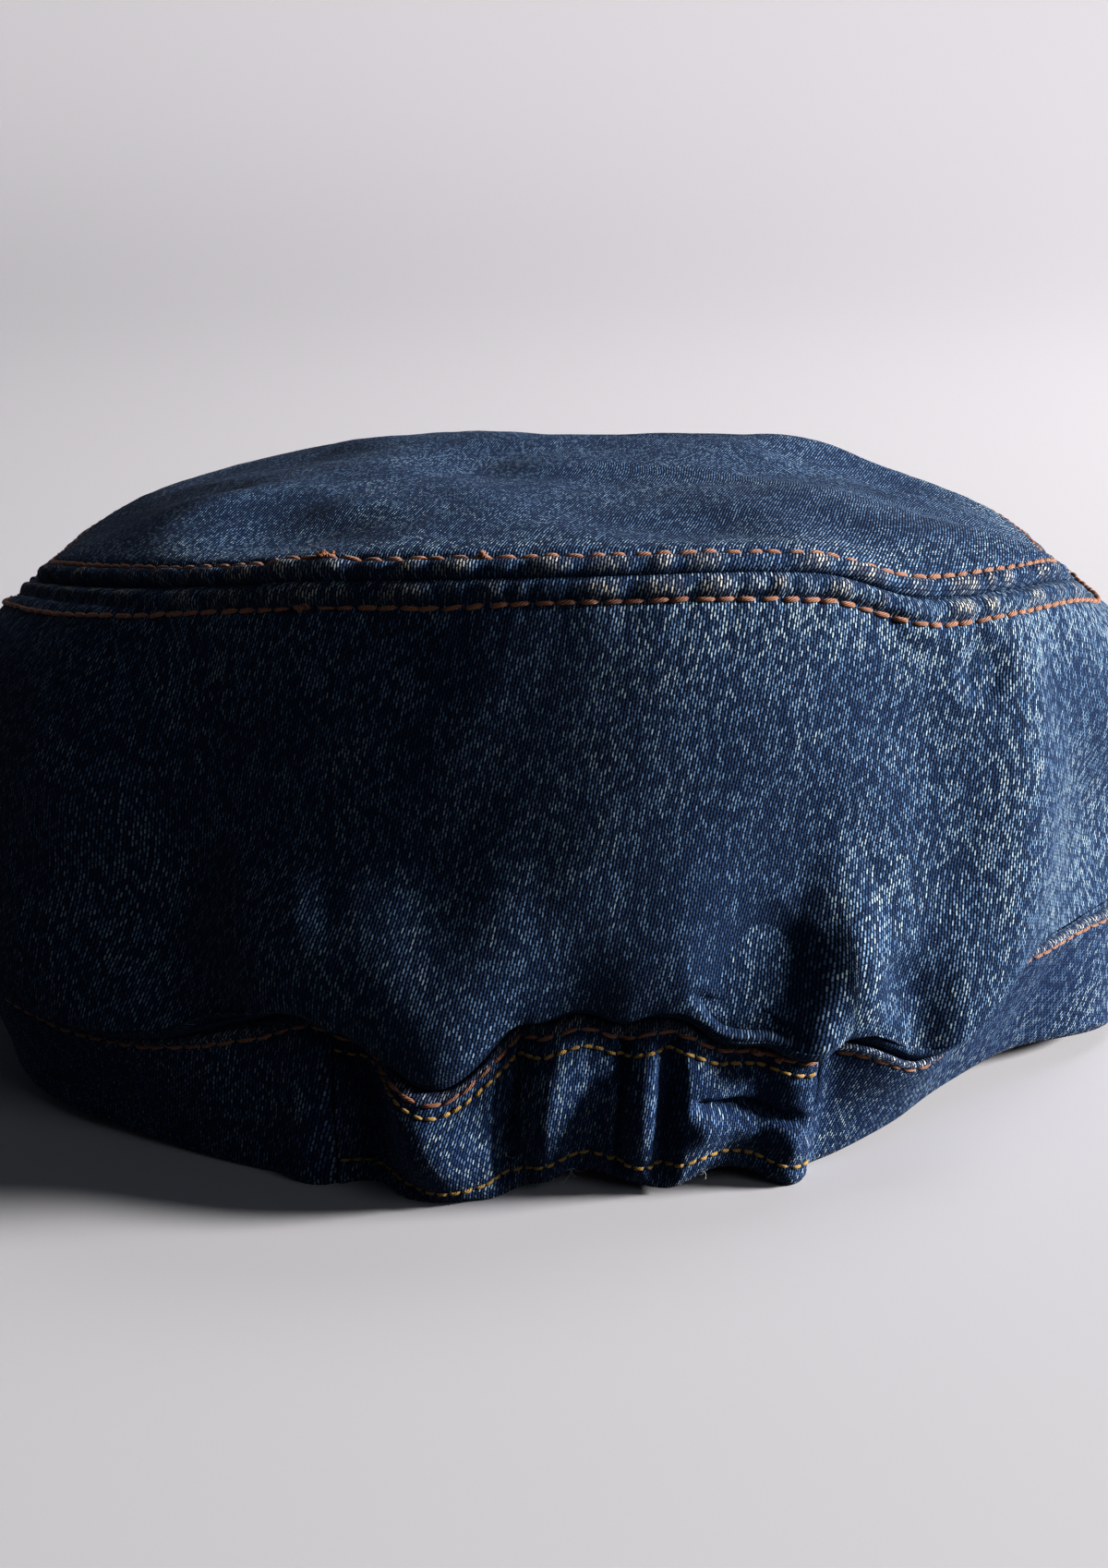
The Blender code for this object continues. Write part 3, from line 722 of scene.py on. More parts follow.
def twill_group():
    """Washed twill on a UV map in metres: the warp's floats as short leaning strokes in ribs."""
    group = bpy.data.node_groups.new("washed_twill", "ShaderNodeTree")
    face = group.interface
    face.new_socket("Cloth", in_out="INPUT", socket_type="NodeSocketVector")
    for name, value in (("Yarn", YARN), ("Float", FLOAT), ("Wear", 0.0), ("Fade", FADE)):
        socket = face.new_socket(name, in_out="INPUT", socket_type="NodeSocketFloat")
        socket.default_value = value
    for name in ("Deep", "Blue", "Faded", "Pale", "Worn"):
        face.new_socket(name, in_out="INPUT", socket_type="NodeSocketColor")
    face.new_socket("Color", in_out="OUTPUT", socket_type="NodeSocketColor")
    face.new_socket("Height", in_out="OUTPUT", socket_type="NodeSocketFloat")
    source = add_node(group, "NodeGroupInput").outputs
    sink = add_node(group, "NodeGroupOutput").inputs
    cloth = source["Cloth"]

    # The yarns stand side by side, and each one's floats start a step further on
    parts = add_node(group, "ShaderNodeSeparateXYZ")
    group.links.new(cloth, parts.inputs[0])
    sway = uneven(group, cloth, *SWAY)
    across = plus(group, parts.outputs["X"], sway)
    across = plus(group, across, multiply(group, parts.outputs["Y"], RIB_LEAN))
    across = plus(group, across, uneven(group, cloth, *FINE_SWAY))
    across = math_node(group, "DIVIDE", across, source["Yarn"])
    column = math_node(group, "FLOOR", across)
    side = minus(group, across, column)
    rise = math_node(group, "DIVIDE", plus(group, parts.outputs["Y"], sway), source["Float"])
    rise = minus(group, rise, multiply(group, column, RIB_STEP))
    stagger = add_node(group, "ShaderNodeTexWhiteNoise", noise_dimensions="1D")
    group.links.new(column, stagger.inputs["W"])
    rise = plus(group, rise, multiply(group, stagger.outputs["Value"], RIB_UNEVEN))
    row = math_node(group, "FLOOR", rise)
    length = minus(group, rise, row)

    # Each float has its own chance of being pale
    cell = add_node(group, "ShaderNodeCombineXYZ")
    group.links.new(column, cell.inputs[0])
    group.links.new(row, cell.inputs[1])
    dice = add_node(group, "ShaderNodeTexWhiteNoise", noise_dimensions="3D")
    group.links.new(cell.outputs[0], dice.inputs["Vector"])
    chance = dice.outputs["Value"]

    # A float is a stroke with frizzy edges and two faint ends
    frizz = uneven(group, cloth, *FRIZZ)
    centred = math_node(group, "ABSOLUTE", minus(group, side, 0.5))
    centred = plus(group, centred, multiply(group, frizz, 0.5))
    length = plus(group, length, multiply(group, frizz, 0.4))
    body = map_range(group, centred, 0.40, 0.10)
    tail = map_range(group, length, 0.0, 0.18, 0.12)
    head = map_range(group, length, 1.0, 0.66, 0.12)
    stroke = multiply(group, body, multiply(group, tail, head))

    # The dye fades in streaks along the yarns and in clouds, over a fade that also carries painted
    # light and shade
    streaks = add_node(group, "ShaderNodeMapping")
    streaks.inputs["Scale"].default_value = (1.0, 0.10, 1.0)
    group.links.new(cloth, streaks.inputs["Vector"])
    fade_and_painted_shade = plus(group, source["Fade"], uneven(group, streaks.outputs[0], *SLUB))
    fade_and_painted_shade = plus(group, fade_and_painted_shade, uneven(group, cloth, *CLOUD), clamp=True)
    faded = plus(group, 0.15, multiply(group, fade_and_painted_shade, 1.5))
    bright = multiply(group, math_node(group, "POWER", chance, 1.9), faded, clamp=True)
    yarn = mix_colour(group, map_range(group, bright, 0.0, 0.55), source["Blue"], source["Faded"])
    yarn = mix_colour(group, map_range(group, bright, 0.50, 1.10), yarn, source["Pale"])

    # Rubbed floats and specks show the bare cotton
    rubbed = plus(group, 0.06, multiply(group, math_node(group, "POWER", chance, 1.5), 1.3))
    rubbed = multiply(group, source["Wear"], rubbed, clamp=True)
    yarn = mix_colour(group, rubbed, yarn, source["Worn"])
    speck = map_range(group, noise_value(group, cloth, 3300.0, 1.0), 0.66, 0.76)
    speck = multiply(group, speck, plus(group, 0.25, fade_and_painted_shade), clamp=True)
    yarn = mix_colour(group, multiply(group, speck, 0.55), yarn, source["Worn"])
    ground = multiply(group, source["Wear"], 0.10)
    ground = mix_colour(group, ground, source["Deep"], source["Blue"])
    group.links.new(mix_colour(group, stroke, ground, yarn), sink["Color"])
    height = multiply(group, stroke, plus(group, 0.7, multiply(group, chance, 0.5)))
    group.links.new(height, sink["Height"])
    return group


def new_material(name, roughness):
    """A new material with its nodes and its shader."""
    material = bpy.data.materials.new(name)
    material.use_nodes = True
    shader = material.node_tree.nodes["Principled BSDF"]
    shader.inputs["Roughness"].default_value = roughness
    return material, material.node_tree, shader


def add_relief(tree, shader, height, strength, distance):
    relief = add_node(tree, "ShaderNodeBump")
    relief.inputs["Strength"].default_value = strength
    relief.inputs["Distance"].default_value = distance
    tree.links.new(height, relief.inputs["Height"])
    tree.links.new(relief.outputs["Normal"], shader.inputs["Normal"])


def cloth_material(name, blue, faded):
    """Denim that reads the piece's UV map, its wear and how pale it is in each place, painted
    light and shade included.
    """
    material, tree, shader = new_material(name, 0.92)
    uv = add_node(tree, "ShaderNodeUVMap", uv_map="cloth")
    wear = add_node(tree, "ShaderNodeAttribute", attribute_name="wear")
    shade = add_node(tree, "ShaderNodeAttribute", attribute_name="shade")
    twill = add_node(tree, "ShaderNodeGroup", node_tree=TWILL)
    tree.links.new(uv.outputs["UV"], twill.inputs["Cloth"])
    tree.links.new(wear.outputs["Fac"], twill.inputs["Wear"])
    # The shade attribute brings the cloth's own tone and the painted light and shade into the fade
    tree.links.new(plus(tree, shade.outputs["Fac"], FADE), twill.inputs["Fade"])
    twill.inputs["Yarn"].default_value = YARN
    twill.inputs["Float"].default_value = FLOAT
    colours = {"Deep": DEEP, "Blue": blue, "Faded": faded, "Pale": PALE, "Worn": WORN}
    for key, colour in colours.items():
        twill.inputs[key].default_value = (*colour, 1.0)
    tree.links.new(twill.outputs["Color"], shader.inputs["Base Color"])
    add_relief(tree, shader, twill.outputs["Height"], 0.9, 0.00028)
    shader.inputs["Specular IOR Level"].default_value = 0.14
    return material


def thread_material(name, dark, light):
    """Twisted sewing thread, read along the stitch's own UV map."""
    material, tree, shader = new_material(name, 0.62)
    uv = add_node(tree, "ShaderNodeUVMap", uv_map="thread")
    wave = add_node(tree, "ShaderNodeTexWave", wave_type="BANDS", bands_direction="DIAGONAL")
    wave.inputs["Scale"].default_value = 1.3
    wave.inputs["Distortion"].default_value = 1.5
    tree.links.new(uv.outputs["UV"], wave.inputs["Vector"])
    spot = add_node(tree, "ShaderNodeTexCoord")
    patch = noise_value(tree, spot.outputs["Object"], 420.0, 3.0, 0.6)
    patch = map_range(tree, patch, 0.25, 0.75, 0.45, 1.1)
    tone = multiply(tree, wave.outputs["Fac"], patch, clamp=True)
    colour = mix_colour(tree, tone, (*dark, 1.0), (*light, 1.0))
    tree.links.new(colour, shader.inputs["Base Color"])
    add_relief(tree, shader, wave.outputs["Fac"], 0.7, 0.0002)
    shader.inputs["Sheen Weight"].default_value = 0.15
    return material


def plain_material(name, colour, roughness):
    material, _, shader = new_material(name, roughness)
    shader.inputs["Base Color"].default_value = (*colour, 1.0)
    return material


TWILL = twill_group()
washed = cloth_material("washed_denim", (0.016, 0.043, 0.106), (0.150, 0.262, 0.432))
washed_dark = cloth_material("dark_washed_denim", (0.013, 0.038, 0.112), (0.120, 0.217, 0.400))
orange = thread_material("orange_thread", (0.120, 0.036, 0.013), (0.460, 0.180, 0.080))
gold = thread_material("golden_thread", (0.230, 0.110, 0.012), (0.720, 0.430, 0.075))
fluff = plain_material("loose_fibre", (0.60, 0.64, 0.68), 0.8)


# The cloth pieces


def inner_face(outer, normal, lift, rows):
    """The cloth's other face under some rows of its outer one, with its small forms flatter."""
    return outer[rows] - (0.8 * lift[rows] + CLOTH)[..., None] * normal[rows]


def stitched_row(azimuth, distance, outer, normal):
    """The line of a panel's face where its row of stitches is sewn along the tip's seam."""
    back = int(np.argmin(np.abs(azimuth)))
    row = int(np.argmin(np.abs(distance[:, back] - ROW_OFF)))
    return azimuth, outer[row], normal[row]


def wall_shade(az, along, turn, length, below_seam):
    """How pale the wall's cloth is beside the shade of its seam and creases: uneven tone, with
    painted light and painted shade.
    """
    shade = 0.10 * slow_noise(turn, length, 0.035, 23)
    # Painted highlight just under the seam, from the middle of the back round the lit side
    shade = shade + UNDER_SEAM_HIGHLIGHT * bell((below_seam - 0.008) / 0.008) * ease(-5.0, 30.0, az)
    # Painted shade under the roll, at the bottom of the wall
    shade = shade - ROLL_PAINTED_SHADE * bell((along - 0.02) / 0.10)
    # Painted shade over the lower middle of the back, where the wall turns down from the light
    shade = shade - BACK_PAINTED_SHADE * bell((along - 0.24) / 0.30) * window(az, *MIDDLE_BACK)
    # Painted light on the lit right side of the wall
    shade = shade + RIGHT_PAINTED_LIGHT * window(az, *RIGHT_SIDE) * window(along, *WALL_BODY)
    # Painted shade patches: a broad one over the middle and a fold's shadow beside the crease
    for patch in SHADE_PATCH_ROWS:
        across = bell((az - patch["azimuth"]) / patch["half_width"])
        upwards = bell((along - patch["along"]) / patch["half_height"])
        shade = shade - patch["darker"] * across * upwards
    return shade


def crown_side():
    """The side wall, from under the band's edge up to the tip's seam."""
    azimuth = azimuths_round()
    share = np.concatenate([
        [-1.0, -0.4],
        np.linspace(0.0, 0.16, 20),
        np.linspace(0.17, 0.86, 54)[:-1],
        np.linspace(0.87, 1.0, 30),
    ])
    az, along = np.meshgrid(azimuth, share)
    base = wall_base(az, along)
    normal = ways_out(base)
    normal[:2] = (0.0, 0.0, -1.0)
    length = length_up(base)
    below_seam = length[-1] - length
    normal = towards_seam(normal, az, below_seam)
    turn = np.radians(az) * SEAM_RADIUS
    around = 2.0 * np.pi * SEAM_RADIUS
    lobe = lobes(turn + 0.25 * below_seam, around, PUCKER_PITCH, 5)
    lift, wear, shade = seam_finish(az, below_seam, lobe)
    creased = wall_creases(az, along)
    soft = sum(high * slow_noise(turn, length, scale, seed) for high, scale, seed in WALL_WAVES)
    lift = lift + creased * ease(-0.02, 0.03, along) + soft * window(along, *WALL_BODY)
    outer = base + normal * lift[..., None]
    shade = shade + wall_shade(az, along, turn, length, below_seam)
    # Painted shade in the creases and a painted highlight on the bulges
    shade = shade + 0.22 * np.clip(creased / 0.0025, -1.0, 1.0)
    rubbed = 0.5 + 0.5 * slow_noise(turn, length, 0.012, 24)
    wear = wear + ROLL_WEAR * bell((along - 0.09) / 0.05) * rubbed
    rows = rows_down(outer, 22)
    inner = inner_face(outer, normal, lift, rows)
    uv = np.stack([np.radians(az) * WALL_RADIUS, -below_seam], axis=-1)
    piece = lined_piece("side_wall", outer, inner, rows, uv, wear, shade, washed, True, True)
    return piece, stitched_row(azimuth, below_seam, outer, normal)


def crown_tip():
    """The top panel, from its seam in to its middle."""
    azimuth = azimuths_round()
    run = np.concatenate([
        np.linspace(0.0, 0.0055, 16),
        np.linspace(0.0064, 0.020, 15),
        np.linspace(0.0216, 0.0900, 44),
    ]) / (TIP_WIDTH / 2)
    az, inwards = np.meshgrid(azimuth, run)
    base = tip_base(az, inwards)
    length = length_up(base)
    normal = towards_seam(ways_out(base), az, length)
    turn = np.radians(az) * SEAM_RADIUS
    around = 2.0 * np.pi * SEAM_RADIUS
    lobe = lobes(turn - 0.35 * length, around, PUCKER_PITCH * 1.05, 9)
    lift, wear, shade = seam_finish(az, length, lobe)
    east, north = base[..., 0], base[..., 1]
    soft = sum(high * slow_noise(east, north, scale, seed) for high, scale, seed in TIP_WAVES)
    lift = lift + soft * window(inwards, 0.05, 0.20, 0.80, 0.95)
    outer = base + normal * lift[..., None]
    # Painted shade over the whole top panel
    shade = shade + 0.08 * slow_noise(east, north, 0.030, 33) - TIP_PAINTED_SHADE
    shade = shade + TIP_RIM_PALER * bell((length - 0.009) / 0.008)
    rows = rows_down(outer, 18)
    inner = inner_face(outer, normal, lift, rows)
    whole = length[-1:] + 0.006
    flat = (whole - length) / whole * TIP_CLOTH_RADIUS
    angle = np.radians(az)
    uv = np.stack([flat * np.sin(angle), -flat * np.cos(angle)], axis=-1)

    # Its rows and columns run backwards in the mesh, so that its faces look out
    back = (slice(None, None, -1), slice(None, None, -1))
    back_rows = len(run) - 1 - rows[::-1]
    piece = lined_piece("top_panel", outer[back], inner[back], back_rows, uv[back], wear[back],
                        shade[back], washed, True, False)
    close_rings(piece, len(run) + len(rows), len(azimuth))
    return piece, stitched_row(azimuth, length, outer, normal)


def close_rings(piece, rows, columns):
    """Closes the small holes that a panel's first and last ring of points leave."""
    shape = bmesh.new()
    shape.from_mesh(piece.data)
    shape.verts.ensure_lookup_table()
    layer = shape.loops.layers.uv.verify()
    for start in (0, (rows - 1) * columns):
        face = shape.faces.new([shape.verts[start + k] for k in range(columns)])
        face.smooth = True
        for loop in face.loops:
            loop[layer].uv = (loop.vert.co.x - CENTRE_X, loop.vert.co.y - CENTRE_Y)
    bmesh.ops.recalc_face_normals(shape, faces=shape.faces)
    bmesh.ops.triangulate(shape, faces=[face for face in shape.faces if len(face.verts) > 4])
    shape.to_mesh(piece.data)
    shape.free()


def casing_forms(azimuth, row):
    """The casing's puff, folds, crease and sewn rows: how far out, and how much paler, with
    painted shade on the folds.
    """
    middle = np.sin(np.pi * np.clip(row, 0.02, 0.98)) ** 0.6
    push = CASING_PUFF * middle**2 * window(azimuth, *PUFF_SPAN)
    paleness_and_painted_shade = 0.0
    for fold in CASING_ROWS:
        centre = fold["at_hem"] + (fold["at_seam"] - fold["at_hem"]) * row
        amount = fold["out"] * bell((azimuth - centre) / fold["width"]) * middle
        push = push + 0.001 * amount
        # Painted shade in the folds' valleys and a painted highlight on their ridges
        paleness_and_painted_shade = paleness_and_painted_shade + 0.05 * amount
    above_crease = row - 0.52 - 0.003 * (17.0 - azimuth)
    creased = window(azimuth, *CREASE_SPAN)
    push = push - 0.0026 * bell(above_crease / 0.07) * creased
    push = push + 0.0012 * bell((above_crease + 0.17) / 0.16) * creased
    for sewn in (CASING_HEM_ROW, CASING_TOP_ROW):
        push = push - SEWN_DIP * bell((row - sewn) / 0.05)
    small = lobes(np.radians(azimuth) * BAND_RADIUS, 0.6, 0.0042, 44) - 0.5
    puckered = 0.00035 * bell((row - 0.84) / 0.14) + 0.00030 * bell((row - 0.12) / 0.14)
    push = push + small * puckered
    return push, paleness_and_painted_shade


def band_piece(name, start, end, proud, step, casing):
    """A strip of the band between two azimuths. The casing's strip is gathered."""
    azimuth = np.linspace(start, end, int((end - start) / step) + 1)
    share = np.concatenate([[0.0, 0.015, 0.04], np.linspace(0.08, 0.92, 26), [0.96, 0.985, 1.0]])
    az, row = np.meshgrid(azimuth, share)
    hem_radius, hem_height = hem(az)
    seam_radius, seam_height = band_seam(az)
    radius = hem_radius + (seam_radius - hem_radius) * row + proud
    turn = np.radians(az) * BAND_RADIUS
    up = row * BAND_HEIGHT
    push = 0.00035 * slow_noise(turn, up, 0.018, 41)
    shade = 0.10 * slow_noise(turn, up, 0.020, 42)
    spread = 1.0
    if casing:
        flared = 1.0 + 1.2 * bell((az - 14.0) / 7.0)
        radius = radius + HEM_FLARE * window(az, *HEM_SPAN) * (1.0 - row) * flared
        for middle, reach, lift in CASING_LIFTS:
            hem_height = hem_height + 0.001 * lift * bell((az - middle) / reach)
        forms, paleness_and_painted_shade = casing_forms(az, row)
        push = push + forms
        shade = shade + paleness_and_painted_shade
        spread = CASING_SPREAD
    else:
        push = push - SEWN_DIP * bell((row - BAND_ROW) / 0.04)
    height = hem_height + (seam_height - hem_height) * row
    radius = radius - EDGE_ROUND * (1.0 - window(row, 0.0, 0.05, 0.96, 1.0))
    radius = radius + push * ease(0.0, 0.06, row) + EDGE_RIDGE * bell((row - 0.972) / 0.03)
    wear = 0.60 * bell((row - 0.978) / 0.035) + 0.30 * bell(row / 0.05)
    outer = place(az, radius, height)
    rows = rows_down(outer, 12)
    inner = place(az[rows], (radius - BAND_CLOTH - proud + EDGE_ROUND)[rows], height[rows])
    uv = np.stack([turn * spread, up * 1.05], axis=-1)
    piece = lined_piece(name, outer, inner, rows, uv, wear, shade, washed_dark, False, True)
    return piece, (azimuth, share, outer, ways_out(outer, closed=False))


def peak_piece():
    """The peak: two faces of cloth over a board, from under the band out to its front edge."""
    side = np.linspace(-1.0, 1.0, 97)
    share = np.concatenate([[0.0], np.linspace(0.0, 0.9, 14), [0.93, 0.97, 0.99, 1.0]])
    azimuth = 180.0 + side * PEAK_HALF_SPAN
    root_radius, root_height = hem(azimuth)
    root_radius = root_radius - BAND_CLOTH
    root_height = root_height - 2 * SEAM_GAP
    fullness = np.sqrt(np.maximum(PEAK_BLUNT**2, 1.0 - side * side))
    kept = np.maximum(0.0, 1.0 - 1.25 * fullness**2)
    edge = PEAK_CLOTH + (root_height - PEAK_CLOTH) * kept
    tops, bottoms = [], []
    for count, row in enumerate(share):
        down = min(1.0, row / 0.9)
        radius = root_radius
        height = root_height
        if count:
            crown = PEAK_CROWN * fullness * bell(np.array(2 * down - 1.0))
            radius = root_radius + BAND_CLOTH + PEAK_LENGTH * fullness * row
            height = root_height + (edge - root_height) * down + crown
        rounded = 0.45 * PEAK_CLOTH * max(0.0, (row - 0.93) / 0.07) ** 2
        tops.append(place(azimuth, radius, height - rounded))
        bottoms.append(place(azimuth, radius, height - PEAK_CLOTH + rounded))
    points = np.concatenate([np.array(tops), np.array(bottoms)[::-1]])
    uv = np.stack([points[..., 0], points[..., 1] - points[..., 2]], axis=-1)
    rim = np.concatenate([share > 0.98, share[::-1] > 0.98])[:, None] * (np.abs(side) < 0.85)
    fields = {"wear": PEAK_WEAR * rim, "shade": np.zeros(points.shape[:2])}
    return mesh_piece("peak_cover", points, uv, False, True, fields, washed)


def recalculated(piece):
    """Turns a closed piece's faces outwards."""
    shape = bmesh.new()
    shape.from_mesh(piece.data)
    bmesh.ops.recalc_face_normals(shape, faces=shape.faces)
    shape.to_mesh(piece.data)
    shape.free()
    return piece


# Threads


def stitch_places(line, pitch, seed, closed):
    """Places of stitches at an uneven pitch, and what reads the line's points and ways there."""
    points, normals = line
    if closed:
        points = np.concatenate([points, points[:1]])
        normals = np.concatenate([normals, normals[:1]])
    steps = np.linalg.norm(np.diff(points, axis=0), axis=1)
    length = np.concatenate([[0.0], np.cumsum(steps)])
    count = int(length[-1] / pitch)
    shifts = np.random.default_rng(seed).uniform(-0.10, 0.10, count)
    places = (np.arange(count) + 0.5 + shifts) * length[-1] / count

    def read(where):
        return [
            np.stack([np.interp(where, length, values[:, k]) for k in range(3)], axis=-1)
            for values in (points, normals)
        ]

    return places, read


def stitches(name, line, pitch, thick, fill, seed, material, closed=True):
    """A row of sewn stitches as one mesh of short bowed threads that lie on the cloth."""
    local = np.random.default_rng(seed)
    places, read = stitch_places(line, pitch, seed, closed)
    share = np.linspace(-1.0, 1.0, 7)
    plump = np.sqrt(np.clip(1.02 - share**4, 0.05, 1.0))
    tubes = []
    for at in places:
        half = 0.5 * pitch * fill * local.uniform(0.88, 1.08)
        middle, out = read(at + share * half)
        out = unit(out)
        aside = np.cross(out, unit(np.gradient(middle, axis=0)))
        slant = local.normal(0.0, 0.05) + 0.07
        bow = thick * (0.55 - STITCH_SINK - 0.55 * np.abs(share) ** 3)
        centre = middle + out * bow[:, None] + aside * (slant * share * half)[:, None]
        tubes.append((centre, out, aside, 0.5 * thick * plump * local.uniform(0.9, 1.12)))
    return thread_mesh(name, tubes, material)


def thread_mesh(name, tubes, material, sides=8):
    """One mesh of closed round tubes, each given by its rings' middles, two ways and radii."""
    turn = np.linspace(0.0, 2.0 * np.pi, sides, endpoint=False)
    vertices, faces, uvs = [], [], []
    for centre, out, aside, size in tubes:
        rings = len(centre)
        across = aside[:, None] * (np.cos(turn)[None, :, None] * size[:, None, None] * 1.08)
        upwards = out[:, None] * (np.sin(turn)[None, :, None] * size[:, None, None])
        start = len(vertices)
        vertices.extend((centre[:, None] + across + upwards).reshape(-1, 3).tolist())
        for r in range(rings - 1):
            for k in range(sides):
                a, b = start + r * sides + k, start + r * sides + (k + 1) % sides
                faces.append((a, b, b + sides, a + sides))
                for ring, side in ((r, k), (r, k + 1), (r + 1, k + 1), (r + 1, k)):
                    uvs.append((ring * TWIST_STEP, side / TWIST_TURN))
        faces.append(tuple(start + k for k in reversed(range(sides))))
        faces.append(tuple(start + (rings - 1) * sides + k for k in range(sides)))
        uvs += [(0.0, 0.0)] * (2 * sides)
    mesh = bpy.data.meshes.new(name)
    mesh.from_pydata(vertices, [], faces)
    mesh.uv_layers.new(name="thread").data.foreach_set("uv", np.array(uvs, dtype=float).ravel())
    mesh.materials.append(material)
    mesh.shade_smooth()
    return recalculated(placed(name, mesh))


def strand(start, way, out, length, curl, thick, seed):
    """One loose strand as a tube: it sets off along a way and curls at random."""
    local = np.random.default_rng(seed)
    share = np.linspace(0.0, 1.0, 9)
    bends = local.normal(0.0, curl, (3, 3))
    centre = np.asarray(start) + np.outer(share * length, way)
    for k in range(3):
        bend = length * np.sin((k + 1) * share * 2.2) * share
        centre = centre + np.outer(bend, bends[k]) / (k + 1)
    ahead = unit(np.gradient(centre, axis=0))
    aside = unit(np.cross(np.broadcast_to(out, ahead.shape), ahead))
    size = 0.5 * thick * np.sqrt(np.clip(1.04 - (2 * share - 1) ** 4, 0.05, 1.0))
    return centre, np.cross(ahead, aside), aside, size


def line_spot(line, at):
    """The point and the way out of a line at an azimuth."""
    azimuth, points, normals = line
    k = int(np.argmin(np.abs(azimuth - at)))
    return points[k], normals[k]


def knots(name, spots, material):
    """Small lumps of thread where a row of stitches was started or ended."""
    tubes = []
    for count, (line, at, size) in enumerate(spots):
        point, out = line_spot(line, at)
        local = np.random.default_rng(700 + count)
        out = unit(out)
        along = unit(np.cross(out, (0.0, 0.0, 1.0)))
        for k in range(14):
            angle = local.uniform(-0.9, 0.9) + (np.pi if k % 2 else 0.0)
            way = along * np.cos(angle) + np.cross(out, along) * np.sin(angle)
            start = point - 0.35 * size * way + out * (0.0001 + 0.00008 * k)
            start = start + 0.10 * size * local.normal(0.0, 1.0, 3)
            seed = 710 + 20 * count + k
            tubes.append(strand(start, way, out, 0.7 * size, 0.30, KNOT_THICK, seed))
    return thread_mesh(name, tubes, material)


def loose_fibres(name, grid, material):
    """Fine fibres that hang from the casing's hem and folds."""
    tubes = []
    for count, (at, height, number) in enumerate(FIBRE_SPOTS):
        point, _ = line_spot((grid[0], *row_line(grid, height)), at)
        for k in range(number):
            seed = 20 * count + k
            local = np.random.default_rng(800 + seed)
            way = np.array([0.0, -0.45, -0.9]) + local.normal(0.0, 0.55, 3)
            start = point + local.normal(0.0, 0.0004, 3) * (1.0, 0.2, 0.3)
            length = local.uniform(0.0007, 0.0019)
            out = (0.0, -1.0, 0.0)
            tubes.append(strand(start, unit(way), out, length, 0.5, FIBRE_THICK, 830 + seed))
    return thread_mesh(name, tubes, material, 4)


def row_line(grid, height):
    """The line of a band piece's face at a share of its height, with the ways out of it."""
    azimuth, share, outer, normal = grid
    return [
        np.stack([
            [np.interp(height, share, values[:, c, k]) for k in range(3)]
            for c in range(len(azimuth))
        ])
        for values in (outer, normal)
    ]


# The pieces in their places

side_piece, side_row = crown_side()
tip_piece, tip_row = crown_tip()
band, band_grid = band_piece("head_band", CASING_END + 0.1, CASING_START + 359.9, 0.0, 1.0, False)
casing, casing_grid = band_piece(
    "gathered_casing", CASING_START + 0.1, CASING_END - 0.1, CASING_PROUD, 0.25, True)
peak_cover = peak_piece()
for piece in (side_piece, band, casing, peak_cover):
    recalculated(piece)

thread_pieces = [
    stitches("tip_stitches", tip_row[1:], ORANGE_PITCH, ORANGE_THICK, 0.95, 61, orange),
    stitches("wall_stitches", side_row[1:], ORANGE_PITCH, ORANGE_THICK, 0.95, 62, orange),
]
for name, grid, height, pitch, thick, fill, seed, thread in (
    ("band_stitches", band_grid, BAND_ROW, ORANGE_PITCH, BAND_THREAD, 0.98, 63, orange),
    ("casing_seam_stitches", casing_grid, CASING_SEAM_ROW, ORANGE_PITCH, BAND_THREAD, 0.98, 64,
     orange),
    ("casing_top_stitches", casing_grid, CASING_TOP_ROW, GOLD_PITCH, GOLD_THICK, 0.88, 65, gold),
    ("casing_hem_stitches", casing_grid, CASING_HEM_ROW, GOLD_PITCH, GOLD_THICK, 0.88, 66, gold),
):
    line = row_line(grid, height)
    thread_pieces.append(stitches(name, line, pitch, thick, fill, seed, thread, closed=False))

# Where the rows were started and ended: line, azimuth and size
casing_seam = (casing_grid[0], *row_line(casing_grid, CASING_SEAM_ROW))
thread_pieces.append(knots("thread_knots", (
    (tip_row, -22.9, 0.0021),
    (side_row, -24.4, 0.0021),
    (tip_row, -8.0, 0.0012),
    (casing_seam, 16.8, 0.0015),
    (casing_seam, 19.0, 0.0013),
), orange))
thread_pieces.append(loose_fibres("loose_fibres", casing_grid, fluff))

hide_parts("crown_side")
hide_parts("crown_tip")
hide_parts("headband")
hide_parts("elastic_casing")
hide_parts("peak")
for piece, slot in (
    (side_piece, "denim"), (tip_piece, "denim"), (band, "denim"), (casing, "dark_denim"),
    (peak_cover, "denim"),
):
    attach(piece, "root")
for piece in thread_pieces:
    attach(piece, "root")


# The studio

FLOOR_TURNS = 64
CAP_MIDDLE = (0.0, 0.0, 0.05)

# The camera's place, from the middle of the head's oval, and how far down it looks, in degrees
CAMERA_ASIDE = 0.0028
CAMERA_BACK = 0.5023
CAMERA_HEIGHT = 0.1758
CAMERA_DOWN = 15.0


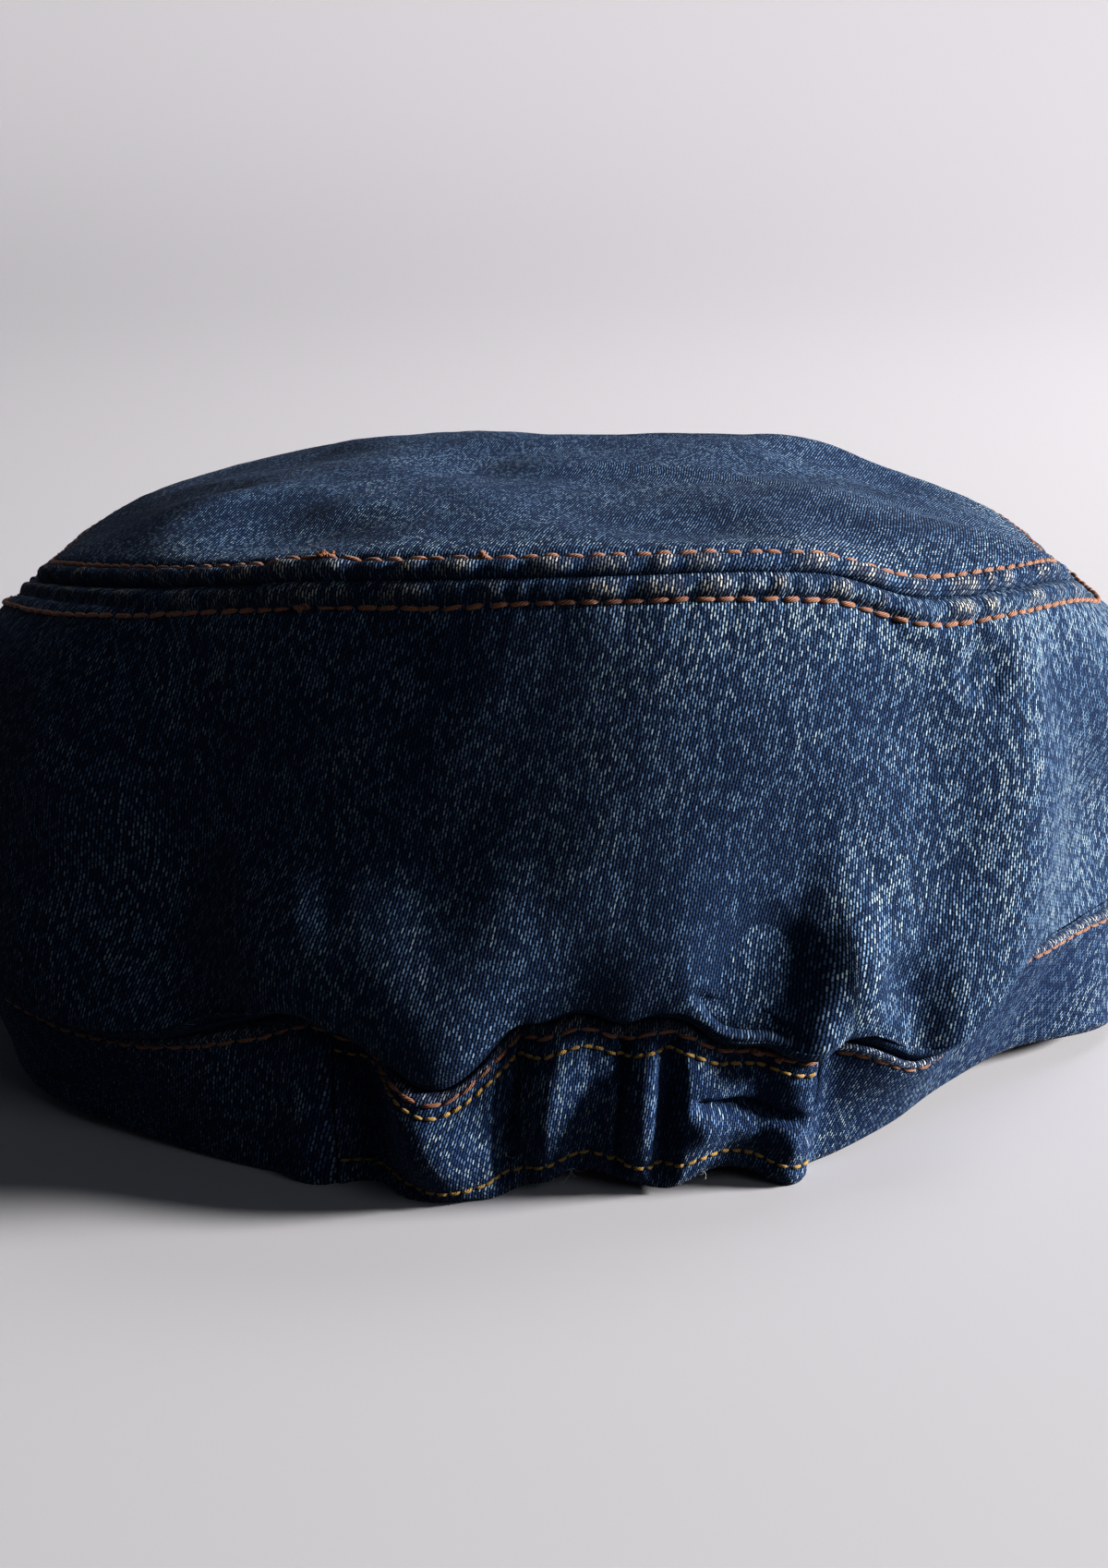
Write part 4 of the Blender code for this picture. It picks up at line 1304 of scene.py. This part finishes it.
def sweep_floor():
    """A round pale floor that curves up into a wall far behind the cap."""
    profile = [(0.001, 0.0), (0.6, 0.0)]
    for k in range(25):
        share = k / 24
        profile.append((1.0 + 2.3 * share**0.8, 2.4 * share**3.0))
    angles = [2.0 * math.pi * k / FLOOR_TURNS for k in range(FLOOR_TURNS)]
    vertices = [
        (radius * math.cos(angle), radius * math.sin(angle), height)
        for radius, height in profile for angle in angles
    ]
    faces = [tuple(range(FLOOR_TURNS))]
    for r in range(len(profile) - 1):
        for k in range(FLOOR_TURNS):
            a, b = r * FLOOR_TURNS + k, r * FLOOR_TURNS + (k + 1) % FLOOR_TURNS
            faces.append((a, b, b + FLOOR_TURNS, a + FLOOR_TURNS))
    mesh = bpy.data.meshes.new("studio_floor")
    mesh.from_pydata(vertices, [], faces)
    mesh.shade_smooth()
    mesh.materials.append(plain_material("pale_paper", (0.465, 0.455, 0.474), 0.9))
    floor = placed("studio_floor", mesh)
    floor.visible_diffuse = False
    return floor


sweep_floor()


def aimed_light(name, place_at, size, watts, colour, target=CAP_MIDDLE, spread=180.0):
    """A flat round lamp of a given width and height that looks at a place."""
    data = bpy.data.lights.new(name, "AREA")
    data.shape = "ELLIPSE"
    data.size, data.size_y = size
    data.energy = watts
    data.color = colour
    data.spread = math.radians(spread)
    light = placed(name, data)
    light.location = place_at
    way = Vector(target) - Vector(place_at)
    light.rotation_euler = way.to_track_quat("-Z", "Y").to_euler()


aimed_light("key", (2.60, -0.16, 0.895), (0.95, 0.26), 222.0, (1.0, 0.985, 0.97))
aimed_light("front_fill", (1.0, -1.3, 0.9), (0.9, 0.9), 3.2, (0.86, 0.93, 1.0))
aimed_light(
    "backdrop_glow", (0.9, 0.9, 2.0), (1.4, 1.4), 18.0, (1.0, 0.975, 1.0), (0.1, 2.0, 0.0), 130.0)

scene = bpy.context.scene
scene.world = bpy.data.worlds.new("studio_air")
scene.world.use_nodes = True
air = scene.world.node_tree.nodes["Background"]
air.inputs["Color"].default_value = (0.62, 0.76, 1.0, 1.0)
air.inputs["Strength"].default_value = 0.022

camera_data = bpy.data.cameras.new("camera")
camera_data.lens = 64.1
camera_data.sensor_width = 36.0
camera_data.clip_start = 0.01
camera_data.clip_end = 20.0
camera = placed("camera", camera_data)
camera.location = (CENTRE_X - CAMERA_ASIDE, CENTRE_Y - CAMERA_BACK, CAMERA_HEIGHT)
camera.rotation_euler = (math.radians(90.0 - CAMERA_DOWN), 0.0, 0.0)
scene.camera = camera
scene.view_settings.view_transform = "Standard"
scene.view_settings.look = "Medium High Contrast"
